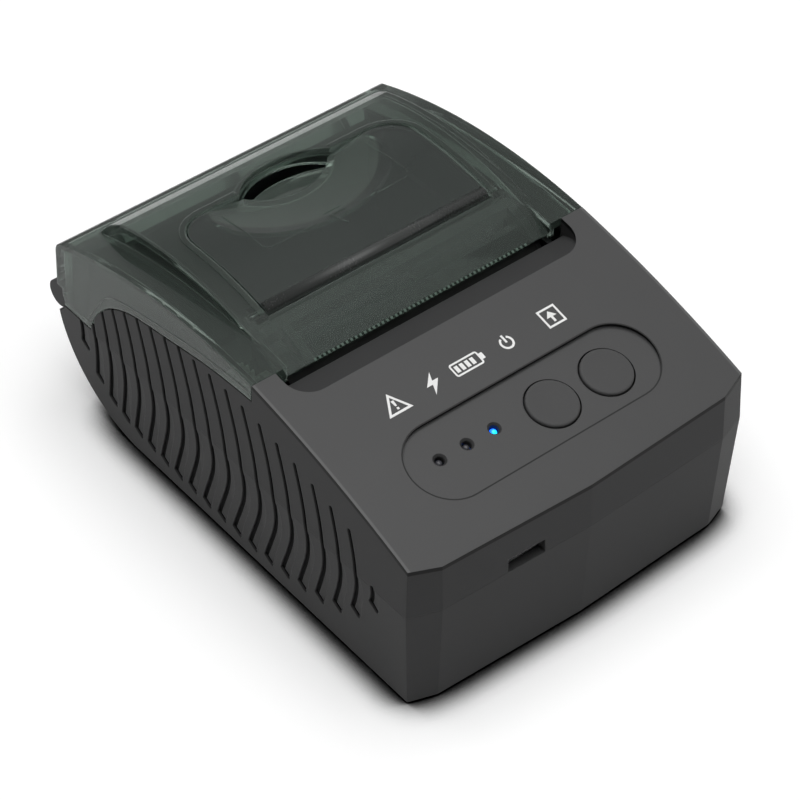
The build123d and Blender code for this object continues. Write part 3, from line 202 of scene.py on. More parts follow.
class Nodes:
    """Adds nodes to one tree, a material's or the world's."""

    def __init__(self, owner):
        self.owner = owner
        owner.use_nodes = True
        self.tree = owner.node_tree
        self.tree.nodes.clear()

    def node(self, kind, settings, sockets, out=None):
        """One node: its settings first, a ramp's stops among them, then its sockets' values or links."""
        made = self.tree.nodes.new("ShaderNode" + kind)
        for name, value in settings.items():
            if name == "stops":
                while len(made.color_ramp.elements) < len(value):
                    made.color_ramp.elements.new(1.0)
                for stop, (where, colour) in zip(made.color_ramp.elements, value):
                    stop.position = where
                    stop.color = colour
            else:
                setattr(made, name, value)
        for name, value in sockets.items():
            if isinstance(name, int):
                socket = made.inputs[name]
            else:
                socket = [s for s in made.inputs if s.enabled and s.name == name][0]
            if isinstance(value, Field):
                self.tree.links.new(value.socket, socket)
            elif value is not None:
                socket.default_value = value
        if out is None:
            return made
        return Field(self, [s for s in made.outputs if s.enabled and s.name == out][0])


class Finish(Nodes):
    """A material for one finish, with the object's own coordinates at hand."""

    def __init__(self, name):
        super().__init__(bpy.data.materials.new(name))
        self.place = self.node("TexCoord", {}, {}, "Object")
        apart = self.node("SeparateXYZ", {}, {"Vector": self.place})
        self.x, self.y, self.z = (Field(self, apart.outputs[i]) / MM for i in range(3))

    def noise(self, size, detail=2.0, roughness=0.5, stretch=None):
        """Noise between 0 and 1 whose spots are about size millimetres across."""
        where = self.place
        if stretch:
            where = self.node("Mapping", {}, {"Vector": where, "Scale": stretch}, "Vector")
        settings = {"Vector": where, "Scale": 1 / (size * MM), "Detail": detail, "Roughness": roughness}
        return self.node("TexNoise", {}, settings, "Fac")

    def blend(self, factor, first, second):
        """The first colour where the factor is 0 and the second where it is 1."""
        ends = {"Factor": factor, "A": first, "B": second}
        return self.node("Mix", {"data_type": "RGBA"}, ends, "Result")

    def tones(self, factor, dark, light):
        """Colour between two plain colours."""
        return self.blend(factor, (*dark, 1), (*light, 1))

    def facing(self, way):
        """How far the surface faces one way: 1 straight at it, 0 across it."""
        own = self.node("NewGeometry", {}, {}, "Normal")
        return self.node("VectorMath", {"operation": "DOT_PRODUCT"}, {0: own, 1: way}, "Value")

    def height_of(self, arc):
        """Height that a circle of the top, as (y, z, radius), has here."""
        return arc[1] + (arc[2] ** 2 - (self.y - arc[0]) ** 2).root()

    def soft_edges(self, radius):
        """Normal rounded over edges, and a mask that is 1 on the edges themselves."""
        normal = self.node("Bevel", {"samples": 4}, {"Radius": radius * MM}, "Normal")
        return normal, (1 - self.facing(normal)).rise(0.015, 0.12)

    def bump(self, height, depth, normal=None):
        """Normal for a relief of the given depth in millimetres."""
        sockets = {"Strength": 1.0, "Distance": depth * MM, "Height": height, "Normal": normal}
        return self.node("Bump", {}, sockets, "Normal")

    def skin(self, **sockets):
        """Principled surface to the output. Socket names have _ for a space."""
        named = {name.replace("_", " "): value for name, value in sockets.items()}
        surface = self.node("BsdfPrincipled", {}, named, "BSDF")
        self.node("OutputMaterial", {}, {"Surface": surface})
        return self.owner


# Finishes

def moulded(name, dark, light, rough, grain=0.25, deep=0.012, specular=0.5, edge=0.0, radius=0.25):
    """Moulded plastic: fine spark-eroded grain, faint flow shades, and edges rubbed a little smoother and
    made lighter by a painted highlight.
    """
    f = Finish(name)
    spots = f.noise(grain, 3.0, 0.6)
    cloud = f.noise(9.0, 2.0)
    colour = f.tones(spots * 0.55 + cloud * 0.45, dark, light)
    normal = None
    shine = rough + (spots - 0.5) * 0.12 + (cloud - 0.5) * 0.06
    if edge:
        normal, rim = f.soft_edges(radius)
        # Painted highlight: the edges lighter than the faces
        lit_edge_colour = tuple(min(1.0, c * (1 + edge)) for c in light)
        colour = f.blend(rim, colour, (*lit_edge_colour, 1))
        shine = shine - rim * 0.08
    relief = f.bump(spots, deep, normal)
    return f.skin(Base_Color=colour, Roughness=shine, Normal=relief, Specular_IOR_Level=specular)


def casing_plastic():
    """Charcoal casing, as moulded.

    The deck is polished by handling, and its up-facing top has a slightly lighter tone, painted light. A
    pale line along its sides is a painted highlight.
    The band under its edge and the grooves in the side walls are darkened with painted shade.
    """
    f = Finish("casing_plastic")
    spots = f.noise(0.28, 3.0, 0.65)
    cloud = f.noise(11.0, 2.0)
    mottle = spots * 0.6 + cloud * 0.4
    base = f.tones(mottle, (0.035, 0.035, 0.0355), (0.047, 0.047, 0.0475))
    # Painted light: the deck's up-facing top gets a slightly lighter tone than the walls
    lit_top_tone = f.tones(mottle, (0.037, 0.037, 0.0375), (0.048, 0.048, 0.0485))
    normal, rim = f.soft_edges(0.3)
    sunk = HALF_W - abs(f.z - PART_Z) * WALL_LEAN - abs(f.x)
    depth = f.height_of(DECK_ARC) - f.z
    upward = f.facing((0, 0, 1))
    rearward = f.facing((0, 1, 0))
    deck = upward.rise(0.6, 0.9) * (1 - rearward.rise(0.05, 0.15)) * (1 - depth.rise(*DECK_TOP_DEEP))
    base = f.blend(deck, base, lit_top_tone)
    # Painted shade: a dark band down the walls just under the deck's edge
    edge_shade = (1 - upward.rise(0.3, 0.6)) * (1 - depth.rise(*EDGE_SHADE))
    base = f.blend(edge_shade * 0.9, base, (0.006, 0.006, 0.006, 1))
    # Painted highlight: a pale line in from the deck's side edges
    edge_highlight = (1 - sunk.rise(*EDGE_HIGHLIGHT)) * deck
    base = f.blend(edge_highlight, base, (0.085, 0.085, 0.085, 1))
    back = (f.y - TAIL_Y).at_least(0)
    down = (f.z - TAIL_Z).at_most(0)
    inside_tail = 1 - (back * back + down * down).root().rise(*TAIL_EDGE)
    in_wall = inside_tail * depth.rise(*GROOVE_TOP) * (f.y - FRONT_END).rise(0, 1)
    groove = sunk.rise(*GROOVE_MOUTH) * (1 - sunk.rise(*GROOVE_FLOOR)) * in_wall
    # Painted shade: the grooves in the side walls darkened nearly to black
    base = f.blend(groove * 0.85, base, (0.004, 0.004, 0.004, 1))
    rim = rim * abs(f.z - PART_Z).rise(0.6, 1.0)
    shine = 0.45 + (spots - 0.5) * 0.14 + (cloud - 0.5) * 0.05 - rim * 0.12 + groove * 0.4
    relief = f.bump(spots, 0.014, normal)
    return f.skin(Base_Color=base, Roughness=shine, Normal=relief, Specular_IOR_Level=0.12,
                  Coat_Weight=deck * 0.95, Coat_Roughness=0.36)


def smoked(name, tint, lit_edge_tint, hollow=None):
    """Smoked plastic: polished, a little wavy, faintly rubbed, matt on the rear roll, and paler on its
    edges, a painted highlight.

    The lever's round hollow is thinner, so it is paler and greener there.
    """
    f = Finish(name)
    wave = f.noise(14.0, 1.0)
    rubbed = f.noise(6.0, 2.0, 0.6)
    normal, rim = f.soft_edges(0.35)
    colour = f.tones(wave, tint, tuple(c * 1.08 for c in tint))
    if hollow:
        off = (f.x ** 2.0 + (f.y - DISH_CENTRE_Y) ** 2.0).root()
        below = (f.height_of(ROOF_ARC) - f.z).rise(0.12, 0.2)
        colour = f.blend((1 - off.rise(DISH_R, DISH_R + 0.3)) * below, colour, (*hollow, 1))
    # Painted highlight: a paler colour on the edges
    colour = f.blend(rim, colour, (*lit_edge_tint, 1))
    roll = f.y.rise(ROLL_Y, ROLL_Y + 2) * (1 - f.y.rise(ROLL_Y + 7, ROLL_Y + 9))
    shine = 0.012 + rubbed.rise(0.55, 0.8) * 0.02 + rim * 0.02 + roll * 0.24
    relief = f.bump(wave, 0.002, normal)
    return f.skin(Base_Color=colour, Roughness=shine, Normal=relief, Transmission_Weight=0.9, IOR=1.5,
                  Specular_Tint=(0.45, 0.45, 0.45, 1), Specular_IOR_Level=0.25)


def metal(name, dark, light, rough, streak=(1.0, 1.0, 1.0), size=0.4):
    """Bare metal with drawn or rolled streaks and small dull spots."""
    f = Finish(name)
    lines = f.noise(size, 3.0, 0.6, stretch=streak)
    spots = f.noise(2.5, 2.0)
    normal, rim = f.soft_edges(0.12)
    colour = f.tones(lines * 0.6 + spots * 0.4, dark, light)
    shine = rough + (lines - 0.5) * 0.2 + spots * 0.06
    relief = f.bump(lines, 0.004, normal)
    return f.skin(Base_Color=colour, Metallic=1.0, Roughness=shine, Normal=relief)


def rubber(name, shade):
    """Matt rubber with ground grain and a dusty bloom."""
    f = Finish(name)
    grit = f.noise(0.16, 3.0, 0.5)
    bloom = f.noise(5.0, 2.0)
    light = tuple(c * 1.3 + 0.003 for c in shade)
    colour = f.tones(grit * 0.5 + bloom * 0.5, shade, light)
    return f.skin(Base_Color=colour, Roughness=0.78 + (grit - 0.5) * 0.2, Normal=f.bump(grit, 0.004),
                  Specular_IOR_Level=0.3)


def circuit_board():
    """Solder mask over copper tracks, seen as slightly raised paler runs, with plated dots."""
    f = Finish("circuit_board")
    cell = f.node("TexVoronoi", {"feature": "DISTANCE_TO_EDGE", "distance": "EUCLIDEAN"},
                  {"Vector": f.place, "Scale": 1 / (2.4 * MM)}, "Distance")
    tracks = 1 - cell.rise(0.05, 0.09)
    dots = f.node("TexVoronoi", {"feature": "F1"},
                  {"Vector": f.place, "Scale": 1 / (3.1 * MM)}, "Distance")
    pads = 1 - dots.rise(0.12, 0.15)
    mottle = f.noise(1.2, 2.0)
    colour = f.tones(mottle * 0.3 + tracks * 0.7, (0.005, 0.055, 0.028), (0.012, 0.12, 0.055))
    colour = f.blend(pads, colour, (0.55, 0.5, 0.36, 1))
    return f.skin(Base_Color=colour, Metallic=pads * 0.9, Roughness=0.38 - pads * 0.1 + mottle * 0.05,
                  Normal=f.bump(tracks + pads, 0.03))


def flat_ribbon():
    """White flat cable with its conductors, one in each millimetre of X, showing as fine lines."""
    f = Finish("flat_ribbon")
    lines = (f.x * (2 * pi)).sine() * 0.5 + 0.5
    colour = f.tones(lines, (0.55, 0.56, 0.57), (0.75, 0.76, 0.76))
    return f.skin(Base_Color=colour, Roughness=0.42 + f.noise(1.0) * 0.08, Normal=f.bump(lines, 0.03))


def lamp(name, rim_colour, core_colour, strength, centre):
    """Clear lamp. Where it is lit, the middle of its dome glows paler than its rim."""
    f = Finish(name)
    cx, cy = centre
    off = ((f.x - cx) ** 2.0 + (f.y - cy) ** 2.0).root()
    core = 1 - off.rise(0.15, 0.75)
    speck = f.noise(0.3, 2.0)
    glow = f.tones(core, rim_colour, core_colour)
    body = f.tones(speck, (0.03, 0.03, 0.035), (0.07, 0.07, 0.08))
    return f.skin(Base_Color=body, Roughness=0.12 + speck * 0.08, Normal=f.bump(speck, 0.004),
                  Emission_Color=glow, Emission_Strength=strength, Coat_Weight=0.4)


def dress():
    """Gives every node of the model its finish."""
    finishes = {
        "casing": casing_plastic(),
        "cover": smoked("smoked_cover", (0.225, 0.275, 0.245), (0.55, 0.66, 0.59)),
        "lever": smoked("smoked_lever", (0.24, 0.28, 0.26), (0.55, 0.66, 0.59), (0.38, 0.46, 0.41)),
        "black": moulded("black_plastic", (0.012, 0.012, 0.012), (0.022, 0.022, 0.023), 0.42, edge=0.8),
        "bracket": moulded("bracket_plastic", (0.02, 0.021, 0.021), (0.035, 0.036, 0.036), 0.35,
                           edge=1.0),
        "bin": moulded("bin_plastic", (0.014, 0.014, 0.015), (0.024, 0.024, 0.025), 0.46, edge=0.8),
        "door": moulded("door_plastic", (0.04, 0.04, 0.041), (0.056, 0.056, 0.057), 0.52, edge=0.6),
        "button": moulded("button_plastic", (0.063, 0.063, 0.0635), (0.079, 0.079, 0.0795), 0.44,
                          grain=0.22, deep=0.01, specular=0.12, edge=0.5, radius=0.6),
        "bearing": moulded("bearing_plastic", (0.45, 0.44, 0.4), (0.6, 0.59, 0.54), 0.4, edge=0.2),
        "gear": moulded("gear_plastic", (0.5, 0.5, 0.48), (0.66, 0.66, 0.63), 0.36,
                        edge=0.2, radius=0.08),
        "brass": metal("gear_brass", (0.55, 0.38, 0.13), (0.72, 0.53, 0.22), 0.3),
        "steel": metal("drawn_steel", (0.42, 0.42, 0.43), (0.6, 0.6, 0.61), 0.24, (0.06, 1.0, 1.0)),
        "spring": metal("spring_steel", (0.4, 0.41, 0.42), (0.62, 0.62, 0.63), 0.2),
        "screw": metal("screw_steel", (0.3, 0.3, 0.31), (0.46, 0.46, 0.47), 0.32),
        "motor": metal("motor_steel", (0.36, 0.37, 0.37), (0.55, 0.56, 0.56), 0.34, (0.1, 1.0, 1.0)),
        "socket": metal("socket_steel", (0.4, 0.4, 0.41), (0.6, 0.6, 0.6), 0.28, (1.0, 0.1, 1.0)),
        "contact": metal("contact_brass", (0.62, 0.46, 0.18), (0.78, 0.62, 0.3), 0.28),
        "heatsink": metal("heatsink_alloy", (0.5, 0.51, 0.52), (0.68, 0.69, 0.7), 0.4, (0.06, 1.0, 1.0)),
        "ceramic": moulded("head_ceramic", (0.5, 0.49, 0.45), (0.62, 0.61, 0.57), 0.3,
                           grain=0.2, deep=0.004),
        "platen": rubber("platen_rubber", (0.014, 0.014, 0.014)),
        "foot": rubber("foot_rubber", (0.02, 0.02, 0.02)),
        "foil": metal("battery_foil", (0.42, 0.43, 0.45), (0.55, 0.56, 0.58), 0.38, size=1.5),
        "chip": moulded("chip_plastic", (0.015, 0.015, 0.016), (0.03, 0.03, 0.032), 0.5,
                        grain=0.12, deep=0.01),
        "board": circuit_board(),
        "cable": flat_ribbon(),
        "dark_lamp": lamp("dark_lamp", (0, 0, 0), (0, 0, 0), 0.0, (-16.6, -37.1)),
        "blue_lamp": lamp("blue_lamp", (0.0, 0.12, 1.0), (0.0, 0.7, 1.0), 2.2, (-7.5, -37.2)),
    }
    worn_by = {
        "casing": ["upper_case", "lower_case"],
        "cover": ["cover"],
        "lever": ["release_lever"],
        "black": ["mechanism_frame"],
        "bracket": ["platen_carrier"],
        "bin": ["paper_bin"],
        "door": ["battery_door"],
        "button": ["power_button", "feed_button"],
        "bearing": ["platen_bushings"],
        "gear": ["platen_gear", "idler_gear"],
        "brass": ["motor_pinion"],
        "steel": ["platen_shaft", "hinge_pin", "lever_pin", "head_rod", "motor_shaft", "idler_post"],
        "spring": ["lever_springs", "head_springs"],
        "screw": ["case_screws", "frame_screws"],
        "motor": ["stepper_motor"],
        "socket": ["usb_socket"],
        "contact": ["battery_contacts"],
        "heatsink": ["head_heatsink"],
        "ceramic": ["thermal_head"],
        "platen": ["platen_roller"],
        "foot": ["rubber_feet"],
        "foil": ["battery_pack"],
        "chip": ["main_chips", "tact_switches", "paper_sensor"],
        "board": ["main_pcb", "panel_pcb"],
        "cable": ["panel_ribbon", "head_cable"],
        "dark_lamp": ["led_error", "led_charge"],
        "blue_lamp": ["led_power"],
    }
    dressed = set()
    for finish, names in worn_by.items():
        for name in names:
            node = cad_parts[name]
            for place in node.material_slots:
                place.material = finishes[finish]
            dressed.add(name)
    bare = sorted(set(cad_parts) - dressed)
    if bare:
        raise RuntimeError("no finish for " + ", ".join(bare))
    return finishes


# Surfaces that carry the printed and moulded marks

def arc_height(arc, y):
    """Height over y of the upper half of a circle (y0, z0, r) across X: z0 + sqrt(r^2 - (y - y0)^2)."""
    return arc[1] + np.sqrt(arc[2] ** 2 - (y - arc[0]) ** 2)


def deck_height(x, y):
    """Height of the control deck: an arc in side view, the same across X."""
    return arc_height(DECK_ARC, y)


def roof_height(x, y):
    """Height of the raised roof: an arc in side view, the same across X."""
    return arc_height(ROOF_ARC, y)


def lever_height(x, y):
    """Height of the lever: the roof's arc, or the ball-shaped hollow sunk into it where that is lower."""
    ball = (DISH_R ** 2 + DISH_DEEP ** 2) / (2 * DISH_DEEP)
    middle = arc_height(ROOF_ARC, DISH_RIM_Y) - DISH_DEEP + ball
    reach = np.clip(ball ** 2 - x ** 2 - (y - DISH_CENTRE_Y) ** 2, 0, None)
    hollow = np.where(reach > 0, middle - np.sqrt(reach), np.inf)
    return np.minimum(roof_height(x, y) - LEVER_SINK, hollow)


def tear_height(x, y):
    """Height of the tear bar: a straight slope up to the rear."""
    return TEAR_Z + TEAR_SLOPE * (y - TEAR_Y)


def wall_reach(y, z):
    """Distance of the side wall from the middle plane: it leans in away from the parting line."""
    return HALF_W - np.abs(z - PART_Z) * WALL_LEAN


def stroke(height, path, width, low, high, closed=False, step=0.5):
    """A flat bar of the given width carried along a path in plan, lying on a surface.

    Corner k of the bar at path length s is p(s) + side_k * n(s) * width(s) / 2 in plan, where n is the
    path's left normal with mitred corners, at the surface's height there plus low or high.
    """
    path = np.array(path, float)
    width = np.broadcast_to(np.array(width, float), (len(path),))
    ring = np.vstack([path, path[:1]]) if closed else path
    wide = np.append(width, width[:1]) if closed else width
    runs = np.diff(ring, axis=0)
    lengths = np.hypot(runs[:, 0], runs[:, 1])
    counts = np.maximum(1, np.ceil(lengths / step)).astype(int)
    along = np.concatenate([[0], np.cumsum(lengths)])
    pieces = [np.linspace(a, b, n, endpoint=False) for a, b, n in zip(along, along[1:], counts)]
    s = np.concatenate(pieces)
    if not closed:
        s = np.append(s, along[-1])
    points = np.stack([np.interp(s, along, ring[:, i]) for i in (0, 1)], axis=1)
    widths = np.interp(s, along, wide)
    before = np.roll(points, 1, axis=0)
    after = np.roll(points, -1, axis=0)
    if not closed:
        before[0] = 2 * points[0] - points[1]
        after[-1] = 2 * points[-1] - points[-2]
    into = points - before
    out = after - points
    into /= np.linalg.norm(into, axis=1, keepdims=True)
    out /= np.linalg.norm(out, axis=1, keepdims=True)
    left = np.stack([-into[:, 1] - out[:, 1], into[:, 0] + out[:, 0]], axis=1)
    left /= np.maximum(np.sum(left * left, axis=1, keepdims=True) / 2, 0.35)
    corners = []
    for side, lift in ((1, low), (1, high), (-1, high), (-1, low)):
        plan = points + side * left * widths[:, None] / 2
        corners.append(np.column_stack([plan, height(plan[:, 0], plan[:, 1]) + lift]))
    verts = np.stack(corners, axis=1).reshape(-1, 3)
    n = len(points)
    rows = np.arange(n if closed else n - 1)
    faces = []
    for k in range(4):
        a = rows * 4 + k
        b = rows * 4 + (k + 1) % 4
        c = ((rows + 1) % n) * 4 + (k + 1) % 4
        d = ((rows + 1) % n) * 4 + k
        faces.append(np.column_stack([a, b, c, d]))
    faces = np.concatenate(faces)
    if not closed:
        last = 4 * (n - 1)
        faces = np.vstack([faces, [3, 2, 1, 0], [last, last + 1, last + 2, last + 3]])
    return verts, faces


def sheet(height, outline, low, high):
    """A flat plate with the given outline in plan, anticlockwise, lying on a surface.

    Corner i of its underside is (x_i, y_i, height + low) and corner n + i lies above it at height + high.
    """
    plan = np.array(outline, float)
    level = height(plan[:, 0], plan[:, 1])
    verts = np.vstack([np.column_stack([plan, level + lift]) for lift in (low, high)])
    n = len(plan)
    sides = [(i, (i + 1) % n, n + (i + 1) % n, n + i) for i in range(n)]
    return verts, sides + [tuple(range(n, 2 * n)), tuple(range(n - 1, -1, -1))]


def arc_path(cx, cy, r, start, end, count):
    """Points round a circle in plan from one angle to another, in degrees."""
    t = np.radians(np.linspace(start, end, count))
    return np.column_stack([cx + r * np.cos(t), cy + r * np.sin(t)])


def rounded(x0, x1, y0, y1, r):
    """Rectangle with rounded corners in plan."""
    spots = [(x1 - r, y1 - r, 0), (x0 + r, y1 - r, 90), (x0 + r, y0 + r, 180), (x1 - r, y0 + r, 270)]
    return np.vstack([arc_path(cx, cy, r, a, a + 90, 5) for cx, cy, a in spots])


def make_piece(name, parts, body, finish):
    """One mesh object from several closed surfaces, given in millimetres."""
    verts = []
    faces = []
    for points, sides in parts:
        base = len(verts)
        verts += (points * MM).tolist()
        faces += [[base + int(i) for i in side] for side in sides]
    mesh = bpy.data.meshes.new(name)
    mesh.from_pydata(verts, [], faces)
    mesh.materials.append(finish)
    mesh.update()
    piece = bpy.data.objects.new(name, mesh)
    bpy.context.scene.collection.objects.link(piece)
    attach(piece, body)
    return piece


# Marks printed on the deck over the lamps and buttons, all plain signs

def print_marks():
    """A warning triangle, a bolt, a full battery, the power sign, and an arrow in a square."""
    ink = moulded("white_ink", (0.78, 0.78, 0.77), (0.88, 0.88, 0.87), 0.5, grain=0.12, deep=0.004)

    def line(path, width=INK_LINE, closed=False):
        return stroke(deck_height, path, width, INK_LOW, INK_HIGH, closed)

    def patch(outline):
        return sheet(deck_height, outline, INK_LOW, INK_HIGH)

    warn = [(-21.7, -26.5), (-17.3, -26.5), (-19.5, -22.8)]
    marks = {"warning_mark": [line(warn, 0.44, True), line([(-19.5, -24.0), (-19.5, -25.2)], (0.6, 0.36)),
                              line([(-19.5, -25.5), (-19.5, -25.95)], 0.46)]}
    bolt = [(-10.2, -22.7), (-12.6, -25.1), (-11.3, -25.1), (-12.1, -27.1), (-9.6, -24.4), (-10.9, -24.4)]
    marks["charge_mark"] = [patch(bolt)]
    cell = rounded(-6.5, -0.6, -26.1, -23.6, 0.35)
    bars = [line([(-5.6 + 1.15 * k, -25.55), (-5.6 + 1.15 * k, -24.15)], 0.75) for k in range(4)]
    marks["battery_mark"] = [line(cell, 0.34, True), line([(-0.45, -24.85), (0.3, -24.85)], 1.3)] + bars
    ring = arc_path(5.5, -25.0, 1.2, 120, 420, 28)
    marks["power_mark"] = [line(ring), line([(5.5, -23.3), (5.5, -25.0)])]
    paper = [(14.2, -26.6), (14.2, -23.0), (17.8, -23.0), (17.8, -26.6)]
    arrow = [(16.0, -23.6), (14.9, -24.9), (15.75, -24.9), (15.75, -26.0), (16.25, -26.0), (16.25, -24.9),
             (17.1, -24.9)]
    marks["feed_mark"] = [line(paper, 0.4, True), patch(arrow)]
    for name, parts in marks.items():
        make_piece(name, parts, "case", ink)


def lever_marks(finish):
    """Fine raised lines on the lever: a bracket round the finger bay, a dash and a small triangle."""
    def line(path, closed=False):
        return stroke(lever_height, path, 0.2, -0.1, 0.09, closed, 0.4)

    corner = arc_path(BRACKET_HALF - BRACKET_R, BRACKET_FRONT + BRACKET_R, BRACKET_R, 0, -90, 7)
    right = np.vstack([[(BRACKET_HALF, BRACKET_REAR)], corner, [(4.2, BRACKET_FRONT)]])
    left = np.vstack([[(-BRACKET_HALF, BRACKET_REAR)], corner * (-1, 1), [(-5.2, BRACKET_FRONT)]])
    arrow = [(-2.0, 15.3), (-0.4, 11.8), (1.6, 15.3)]
    dash = [(-2.2, 16.7), (1.5, 16.7)]
    parts = [line(left), line(right), line(arrow, True), line(dash)]
    make_piece("lever_marks", parts, "lever", finish)


def round_bar(x0, x1, y, z, r, sides=24):
    """Cylinder along X: corner k of each end is (x, y + r cos t_k, z + r sin t_k)."""
    t = 2 * np.pi * np.arange(sides) / sides
    ring = np.column_stack([y + r * np.cos(t), z + r * np.sin(t)])
    verts = np.vstack([np.column_stack([np.full(sides, x), ring]) for x in (x0, x1)])
    walls = [(i, (i + 1) % sides, sides + (i + 1) % sides, sides + i) for i in range(sides)]
    return verts, walls + [tuple(range(sides - 1, -1, -1)), tuple(range(sides, 2 * sides))]


def lever_bar():
    """The thick rounded bar along the lever's front edge, over its pivot."""
    finish = moulded("bar_plastic", (0.03, 0.032, 0.031), (0.042, 0.045, 0.043), 0.26,
                     grain=0.3, deep=0.002, specular=0.6, edge=1.0)
    bar = make_piece("lever_bar", [round_bar(-BAR_HALF, BAR_HALF, BAR_Y, BAR_Z, BAR_R)], "lever", finish)
    for side in bar.data.polygons:
        side.use_smooth = len(side.vertices) == 4


def cover_marks(finish):
    """Bead on the cover round the lever's opening, and bright painted glints on the tips of the tear bar's
    teeth.
    """
    half = OPENING_HALF + BEAD_OUT
    rear = OPENING_REAR + BEAD_OUT
    r = OPENING_R + BEAD_OUT
    meet = sqrt((BAY_R + BEAD_OUT) ** 2 - (rear - BAY_Y) ** 2)
    bends = [arc_path(half - r, rear - r, r, 0, 90, 9), arc_path(r - half, rear - r, r, 90, 180, 9)]
    right = np.vstack([[(half, OPENING_FRONT)], bends[0], [(meet, rear)]])
    left = np.vstack([[(-meet, rear)], bends[1], [(-half, OPENING_FRONT)]])
    beads = [stroke(roof_height, path, BEAD_W, -0.1, 0.16) for path in (right, left)]
    make_piece("opening_bead", beads, "cover_body", finish)
    # Painted glint: pale green strips laid over the tips of the tear bar's teeth
    glint = moulded("tooth_tip", (0.05, 0.085, 0.065), (0.08, 0.12, 0.095), 0.3, grain=0.15, deep=0.004)
    runs = ([(x, TEAR_Y - 0.03), (x, TEAR_Y + 0.4)] for x in TEETH_X0 + np.arange(TEETH))
    glints = [stroke(tear_height, run, TOOTH_W, -0.06, 0.03) for run in runs]
    make_piece("tooth_glints", glints, "cover_body", glint)


def catmull(values, steps):
    """Smooth curve through values at whole steps: the Catmull-Rom cubic between each pair."""
    ends = np.concatenate([[2 * values[0] - values[1]], values, [2 * values[-1] - values[-2]]])
    i = np.clip(steps.astype(int), 0, len(values) - 2)
    t = steps - i
    a, b, c, d = (ends[i + k] for k in range(4))
    return b + t * ((c - a) + t * ((2 * a - 5 * b + 4 * c - d) + t * (3 * (b - c) + d - a))) / 2


def side_beads():
    """Fine raised line along the lower edge of each of the cover's side walls, pale as a painted
    highlight.
    """
    run = np.array(SIDE_LINE, float)
    steps = np.linspace(0, len(run) - 1, 60)
    smooth = np.column_stack([catmull(run[:, i], steps) for i in (0, 1)])
    verts, faces = stroke(wall_reach, smooth, 0.24, -0.1, 0.07)
    right = verts[:, [2, 0, 1]]
    left = right * (-1, 1, 1)
    # Painted highlight: the line is paler than the smoked cover
    finish = moulded("rim_plastic", (0.06, 0.073, 0.066), (0.078, 0.092, 0.084), 0.3,
                     grain=0.3, deep=0.002)
    make_piece("side_beads", [(right, faces), (left, faces[:, ::-1])], "cover_body", finish)


def panel_line():
    """The thin dark line, painted shade, where the control panel's pocket meets the deck."""
    # Painted shade: a dark strip laid along the pocket's edge
    shade_finish = moulded("panel_grime", (0.01, 0.01, 0.01), (0.016, 0.016, 0.016), 0.6, grain=0.2, deep=0.01)
    left, right = PANEL_ENDS
    ends = [arc_path(right, 0, PANEL_R, -90, 90, 25), arc_path(left, 0, PANEL_R, 90, 270, 25)]
    outline = np.vstack(ends) * (1, PANEL_SQUASH) + (0, PANEL_Y)
    make_piece("panel_line", [stroke(deck_height, outline, 0.26, -0.05, 0.008, True)], "case", shade_finish)


# Floor, light and backdrop

def rays(nodes):
    """1 for what the camera itself sees, what is seen in gloss, and what is seen through clear plastic."""
    path = nodes.node("LightPath", {}, {})
    camera, glossy, through = (Field(nodes, path.outputs[n]) for n in
                               ("Is Camera Ray", "Is Glossy Ray", "Is Transmission Ray"))
    return camera, glossy * (1 - through), through


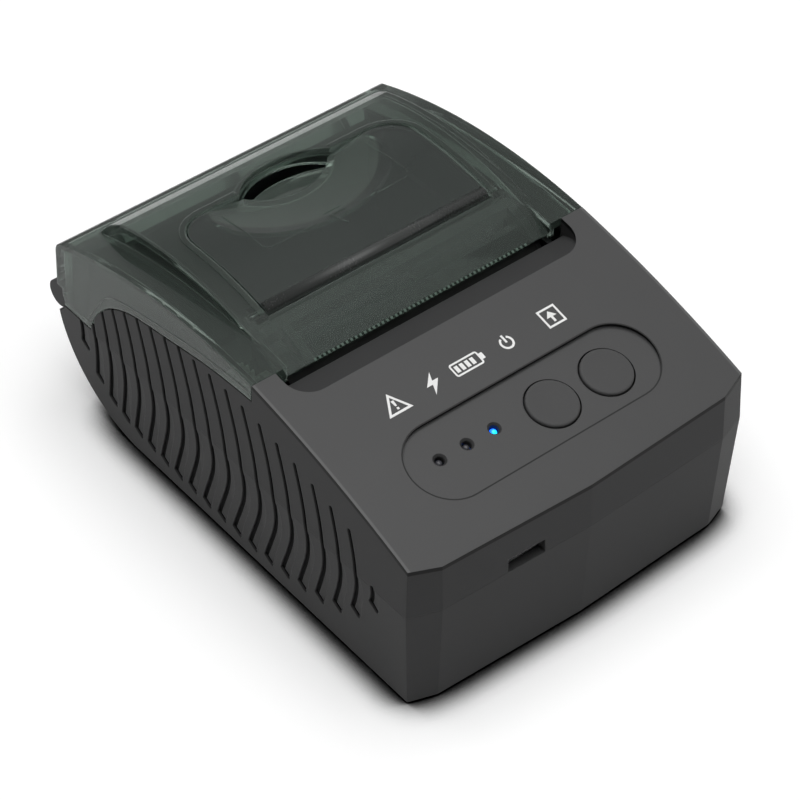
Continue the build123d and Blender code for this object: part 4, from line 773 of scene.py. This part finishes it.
def stage():
    """Pale floor that keeps the printer's shadow, darkest where they meet, and is white away from it.

    From below it is clear, so the printer's underside can be looked at.
    """
    mesh = bpy.data.meshes.new("floor")
    corners = [(x * FLOOR_HALF, y * FLOOR_HALF, 0) for x, y in ((-1, -1), (1, -1), (1, 1), (-1, 1))]
    mesh.from_pydata(corners, [], [(0, 1, 2, 3)])
    floor = bpy.data.objects.new("floor", mesh)
    bpy.context.scene.collection.objects.link(floor)
    paper = Nodes(bpy.data.materials.new("floor_paper"))
    camera, _, through = rays(paper)
    open_sky = paper.node("AmbientOcclusion", {"samples": 16}, {"Distance": CONTACT * MM}, "AO")
    near = 1 - camera * (1 - open_sky.rise(*CONTACT_ENDS))
    grey = near * FLOOR_TONE
    tone = paper.node("CombineColor", {}, {"Red": grey, "Green": grey, "Blue": grey}, "Color")
    matt = paper.node("BsdfDiffuse", {}, {"Color": tone}, "BSDF")
    seen = camera.at_least(through) * near
    lift = paper.node("Emission", {}, {"Color": (1, 1, 1, 1), "Strength": seen * FLOOR_LIFT}, "Emission")
    both = paper.node("AddShader", {}, {0: matt, 1: lift}, "Shader")
    under = paper.node("NewGeometry", {}, {}, "Backfacing")
    clear = paper.node("BsdfTransparent", {}, {}, "BSDF")
    surface = paper.node("MixShader", {}, {0: under, 1: both, 2: clear}, "Shader")
    paper.node("OutputMaterial", {}, {"Surface": surface})
    mesh.materials.append(paper.owner)


def lamp_over(name, way, distance, side, power):
    """Square lamp that faces the printer from one direction. Gloss sees the painted sky instead."""
    soft = bpy.data.lights.new(name, "AREA")
    soft.shape = "SQUARE"
    soft.size = side
    soft.energy = power
    box = bpy.data.objects.new(name, soft)
    turn = way.to_track_quat("Z", "Y").to_matrix().to_4x4()
    box.matrix_world = Matrix.Translation(way * distance) @ turn
    box.visible_glossy = False
    bpy.context.scene.collection.objects.link(box)


def light():
    """A broad lamp overhead and an even sky. In gloss the sky is bright overhead and dim on the left."""
    world = bpy.data.worlds.new("studio")
    bpy.context.scene.world = world
    sky = Nodes(world)
    camera, glossy, through = rays(sky)
    way = sky.node("TexCoord", {}, {}, "Generated")
    across = sky.node("VectorMath", {"operation": "DOT_PRODUCT"}, {0: way, 1: (1, 0, 0)}, "Value")
    up = sky.node("VectorMath", {"operation": "DOT_PRODUCT"}, {0: way, 1: (0, 0, 1)}, "Value")
    patch = up.rise(0.6, 1.0) * (1 - across.rise(0.25, 0.7)) * GLOSS_TOP
    gloss = GLOSS_LEFT + across.rise(-0.6, 0.1) * (GLOSS_SKY - GLOSS_LEFT + patch)
    strength = SKY_LIGHT + camera * (1 - SKY_LIGHT) + glossy * (gloss - SKY_LIGHT)
    strength = strength + through * (CLEAR_SKY - SKY_LIGHT)
    back = sky.node("Background", {}, {"Color": (1, 1, 1, 1), "Strength": strength}, "Background")
    sky.node("OutputWorld", {}, {"Surface": back})
    lamp_over("overhead", Vector((-0.02, -0.05, 1)).normalized(), 1.6, 1.7, 30.0)


place_camera()
finishes = dress()
print_marks()
lever_marks(finishes["lever"])
lever_bar()
cover_marks(finishes["cover"])
side_beads()
panel_line()
stage()
light()
bpy.context.scene.view_settings.view_transform = "Standard"
